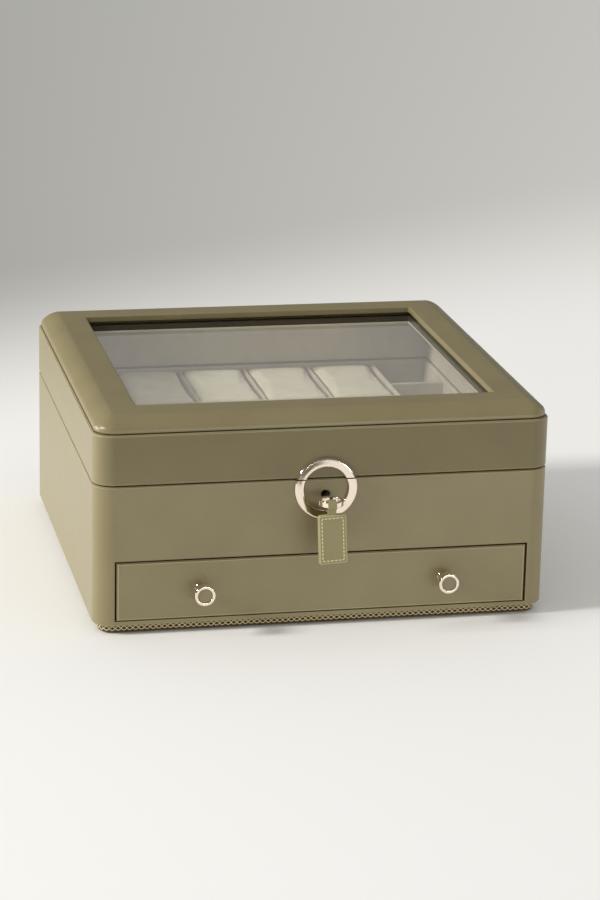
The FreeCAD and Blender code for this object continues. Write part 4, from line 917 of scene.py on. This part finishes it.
def ring_pad():
    """The ring pad: six soft rolls side by side, with slots between.

    Roll i's outline is (y_i + (r - 0.22) cos a, z + r sin a), from below its left
    side over its top. All of them make one closed section, carried along X and
    drawn in toward its core by R (1 - sqrt(1 - (1 - d / R)^2)) within R of its
    ends. The tops sag and rise by 0.25 sin(x / 31) sin(x / 13).
    """
    low, high = box_mm("ring_rolls")
    count, per_roll, end_bend = 6, 25, 3.2
    radius = (high[1] - low[1]) / (2 * count)
    core_z, foot = high[2] - radius, low[2]
    dip, wide = math.radians(32), radius - 0.22
    section, core = [], []
    for i in range(count):
        y = low[1] + (2 * i + 1) * radius
        first, last = i == 0, i == count - 1
        angle = np.linspace(np.pi + (0 if first else dip), 0 if last else -dip, per_roll)
        section.append(np.column_stack([y + wide * np.cos(angle),
                                        core_z + radius * np.sin(angle)]))
        core.append(np.tile([y, core_z], (per_roll, 1)))
        if not last:
            section.append(np.array([[y + radius, core_z - 0.75 * radius]]))
            core.append(np.array([[y + radius, core_z - 2 * radius]]))
    under = np.array([
        (high[1] - 0.25, core_z - 8), (high[1] - 0.3, foot + 6), (high[1] - 1.5, foot),
        ((low[1] + high[1]) / 2, foot),
        (low[1] + 1.5, foot), (low[1] + 0.3, foot + 6), (low[1] + 0.25, core_z - 8)])
    inward = np.array([(-8, 0), (-8, 0), (-8, 4), (0, 4), (8, 4), (8, 0), (8, 0)])
    section = np.concatenate([*section, under])
    core = np.concatenate([*core, under + inward])
    toward = core - section
    toward /= np.maximum(np.linalg.norm(toward, axis=1, keepdims=True), 1e-6)
    ends = np.array([0, 0.25, 0.7, 1.3, 2.1, end_bend])
    x = np.concatenate([low[0] + ends, np.linspace(low[0] + 6, high[0] - 6, 25),
                        high[0] - ends[::-1]])
    near = np.minimum(np.minimum(x - low[0], high[0] - x), end_bend)
    draw = end_bend * (1 - np.sqrt(np.maximum(0.0, 1 - (1 - near / end_bend) ** 2)))
    sag = 0.25 * np.sin(x / 31) * np.sin(x / 13)
    flat = section + draw[:, None, None] * toward
    flat[..., 1] += np.where(section[:, 1] > core_z, sag[:, None], 0)
    grid = np.dstack([np.broadcast_to(x[:, None], flat.shape[:2]), flat[..., 0], flat[..., 1]])
    piece = sheet_piece("ring_pad", grid, (False, True), True, 60)
    settle(piece, "ring_rolls", materials=[pillow_cloth])


# ---------------------------------------------------------------- stage and lights

def stage_floor():
    """A pale floor that is its own backdrop.

    The near colour turns into the far one by a smooth step of y - 0.55 x; the far
    grey and this diagonal step are painted shade on the backdrop. The far one
    brightens across the view, with (x + 0.4) / (y + 1.89), and a little with y:
    painted light, the part with y making up for the key's fall-off. Two places
    differ so that nothing burns out, both painted shade: the near colour is darker
    to mirrors and bounced light in front of the box, and darker to the camera
    under the key lamp.
    """
    reach = 6000
    corners = [(-reach, -reach, 0), (reach, -reach, 0), (reach, reach, 0), (-reach, reach, 0)]
    floor = new_piece("floor", corners, [[0, 1, 2, 3]])
    finish = Finish("floor_paper", linear(246, 244, 239), 0.8, Specular_IOR_Level=0.2)
    x, y, _ = finish.axes()
    seen = finish.node("ShaderNodeLightPath").outputs["Is Camera Ray"]
    depth = finish.spread(finish.math("ADD", y, finish.math("MULTIPLY", x, -0.55)),
                          0.0, 1.0, 0.35, 0.95)
    depth.node.interpolation_type = "SMOOTHSTEP"
    # Painted light on the backdrop: brighter across the view, and with y to make up for the key's
    # fall-off.
    view_share = finish.math("DIVIDE", finish.math("ADD", x, 0.4), finish.math("ADD", y, 1.89))
    tone = finish.math("ADD", finish.spread(view_share, 0.0, 0.386, 0.0, 0.35),
                       finish.spread(y, 0.0, 0.12, 0.9, 2.9))
    # The far colour is grey: painted shade on the backdrop.
    far = finish.tint(finish.spread(tone, 0.0, 1.0, 0.0, 0.684),
                      (0.316, 0.314, 0.296, 1.0), (1.0, 0.993, 0.937, 1.0))
    # Painted shade: in front of the box the floor is dark to all but the camera, so mirrors and
    # bounced light see it dark.
    free_of_front_painted_shade = finish.math("MAXIMUM", finish.spread(y, 0.0, 1.0, -0.75, -0.6), seen)
    near = finish.tint(free_of_front_painted_shade, (0.2, 0.2, 0.2, 1.0), linear(246, 245, 242))
    # Painted shade: darker to the camera at the left, under the key lamp's pool of light.
    free_of_key_painted_shade = finish.math("MAXIMUM", finish.spread(x, 0.0, 1.0, -2.6, -0.5),
                                finish.math("SUBTRACT", 1.0, seen))
    near = finish.tint(free_of_key_painted_shade, (0.27, 0.27, 0.265, 1.0), near)
    finish.paint(finish.tint(depth, near, far))
    floor.data.materials.append(finish.material)


def area_light(name, place, target, size, watts, colour=(1, 1, 1)):
    """A lamp that faces a target: a disc of one size, or a strip of two."""
    data = bpy.data.lights.new(name, "AREA")
    data.shape = "DISK" if len(size) == 1 else "RECTANGLE"
    data.size, data.size_y = size[0], size[-1]
    data.energy = watts
    data.color = colour
    lamp = bpy.data.objects.new(name, data)
    bpy.context.scene.collection.objects.link(lamp)
    lamp.location = place
    away = Vector(place) - Vector(target)
    lamp.rotation_mode = "QUATERNION"
    lamp.rotation_quaternion = away.to_track_quat("Z", "Y")
    return lamp


def keep_off(lamp, *names):
    """Stops a lamp from lighting some pieces."""
    unlit = bpy.data.collections.new("unlit_by_" + lamp.name)
    for name in names:
        unlit.objects.link(bpy.data.objects[name])
    for member in unlit.collection_objects:
        member.light_linking.link_state = "EXCLUDE"
    lamp.light_linking.receiver_collection = unlit


def lamps():
    """A soft key high at the left, low strips before and beside, and a weak right lamp."""
    turn, height, way = math.radians(6), math.radians(31), 5.0
    warm, soft = (1.0, 0.987, 0.965), (1.0, 0.99, 0.97)
    place = (-way * math.cos(turn) * math.cos(height),
             -way * math.sin(turn) * math.cos(height), way * math.sin(height))
    area_light("key", place, (0, 0, 0.07), (1.05,), 195, warm)
    fill = area_light("fill", (0.36, -1.3, 0.05), (0, -0.15, 0.04), (0.8, 0.08), 2.8, soft)
    side = area_light("side", (-1.7, 0.75, 0.18), (-0.1, 0, 0.08), (1.2, 0.2), 18, soft)
    keep_off(fill, "floor", "lid_band_cover")
    keep_off(side, "floor")
    area_light("right", (1.3, 0.1, 0.5), (0.2, 0, 0), (0.8,), 1.3)


def dark_card():
    """A brown card low before the box, which only the ring's metal mirrors."""
    outline = ((36, -390), (10, -425), (34, -515), (60, -590), (84, -575), (63, -428), (49, -410))
    card = new_piece("dark_card", [(x, y, 20) for x, y in outline], [list(range(7))])
    card.data.materials.append(Finish("brown_card", linear(100, 92, 75), 0.9).material)
    for ray in ("camera", "diffuse", "transmission", "volume_scatter", "shadow"):
        setattr(card, "visible_" + ray, False)


def even_sky():
    """An even sky: 0.56 to light that spreads, 0.14 in gloss and 0.45 in clear mirrors."""
    world = bpy.data.worlds.new("sky")
    bpy.context.scene.world = world
    world.use_nodes = True
    tree = world.node_tree
    sky = tree.nodes["Background"]
    sky.inputs["Color"].default_value = (1.0, 1.0, 0.99, 1.0)
    path = tree.nodes.new("ShaderNodeLightPath")
    level = tree.nodes.new("ShaderNodeMapRange")
    level.inputs["To Min"].default_value = 0.56
    level.inputs["To Max"].default_value = 0.14
    mirror = tree.nodes.new("ShaderNodeMath")
    mirror.operation = "MULTIPLY_ADD"
    mirror.inputs[1].default_value = 0.31
    for output, target in ((path.outputs["Is Glossy Ray"], level.inputs["Value"]),
                           (path.outputs["Is Singular Ray"], mirror.inputs[0]),
                           (level.outputs["Result"], mirror.inputs[2]),
                           (mirror.outputs["Value"], sky.inputs["Strength"])):
        tree.links.new(output, target)


# ---------------------------------------------------------------- the box

add_camera()

for node in ("base_carcass", "lid_band", "drawer_front"):
    dressed(node, [olive, olive_edge_highlight], 0.35, 3)
# The retainer is covered in dark leather: painted shade below the glass.
dressed("glass_retainer", [retainer_painted_shade], 0.35, 3)
cap_cover()
knob_pair()
knob_leathers()
split_ring()
key_ring()
screws()
dressed("tag_leather", [olive_tag, olive_tag_edge_highlight], 0.35, 3)
dressed("tag_strap", [olive_tag], 0.2, 2)
tag_stitches()
plinth_band()
plinth_braid()
watch_pillows()
ring_pad()
for node in ("liner_front", "liner_back", "liner_left", "liner_right", "divider_left",
             "divider_right", "divider_cross_rear", "divider_cross_front", "well_dividers",
             "drawer_dividers", "tray_floor_pad"):
    dressed(node, [lining], 0.45, 3)
dressed("cell_dividers", [lining], 0.2, 2)
for node in ("lid_lining", "drawer_lining"):
    dressed(node, [lining], 0.35, 3)
dressed("underside_felt", [under_felt], 0.3, 2)
for node in ("plinth_board", "base_floor", "drawer_shelf", "drawer_guides", "drawer_stop",
             "drawer_side_left", "drawer_side_right", "drawer_back", "drawer_bottom"):
    dressed(node, [board], 0.4, 2)
for node in ("hinge_lower_leaves", "hinge_upper_leaves"):
    dressed(node, [hinge_brass], 0.18, 2)
dressed("hinge_pins", [steel], 0.2, 2)
for node in ("lock_case", "strike_plate", "lock_hook", "plug_clip"):
    dressed(node, [steel], 0.15, 2)
for node in ("key_shaft", "lock_plug"):
    dressed(node, [dark_bronze], 0.15, 2)

stage_floor()
lamps()
dark_card()
even_sky()
bpy.context.scene.view_settings.view_transform = "Standard"

for node, thing in frame["nodes"].items():
    if not thing.hide_render:
        thing.data.materials.clear()
        thing.data.materials.append(SLOT_MATERIAL[SLOT_OF[node]])
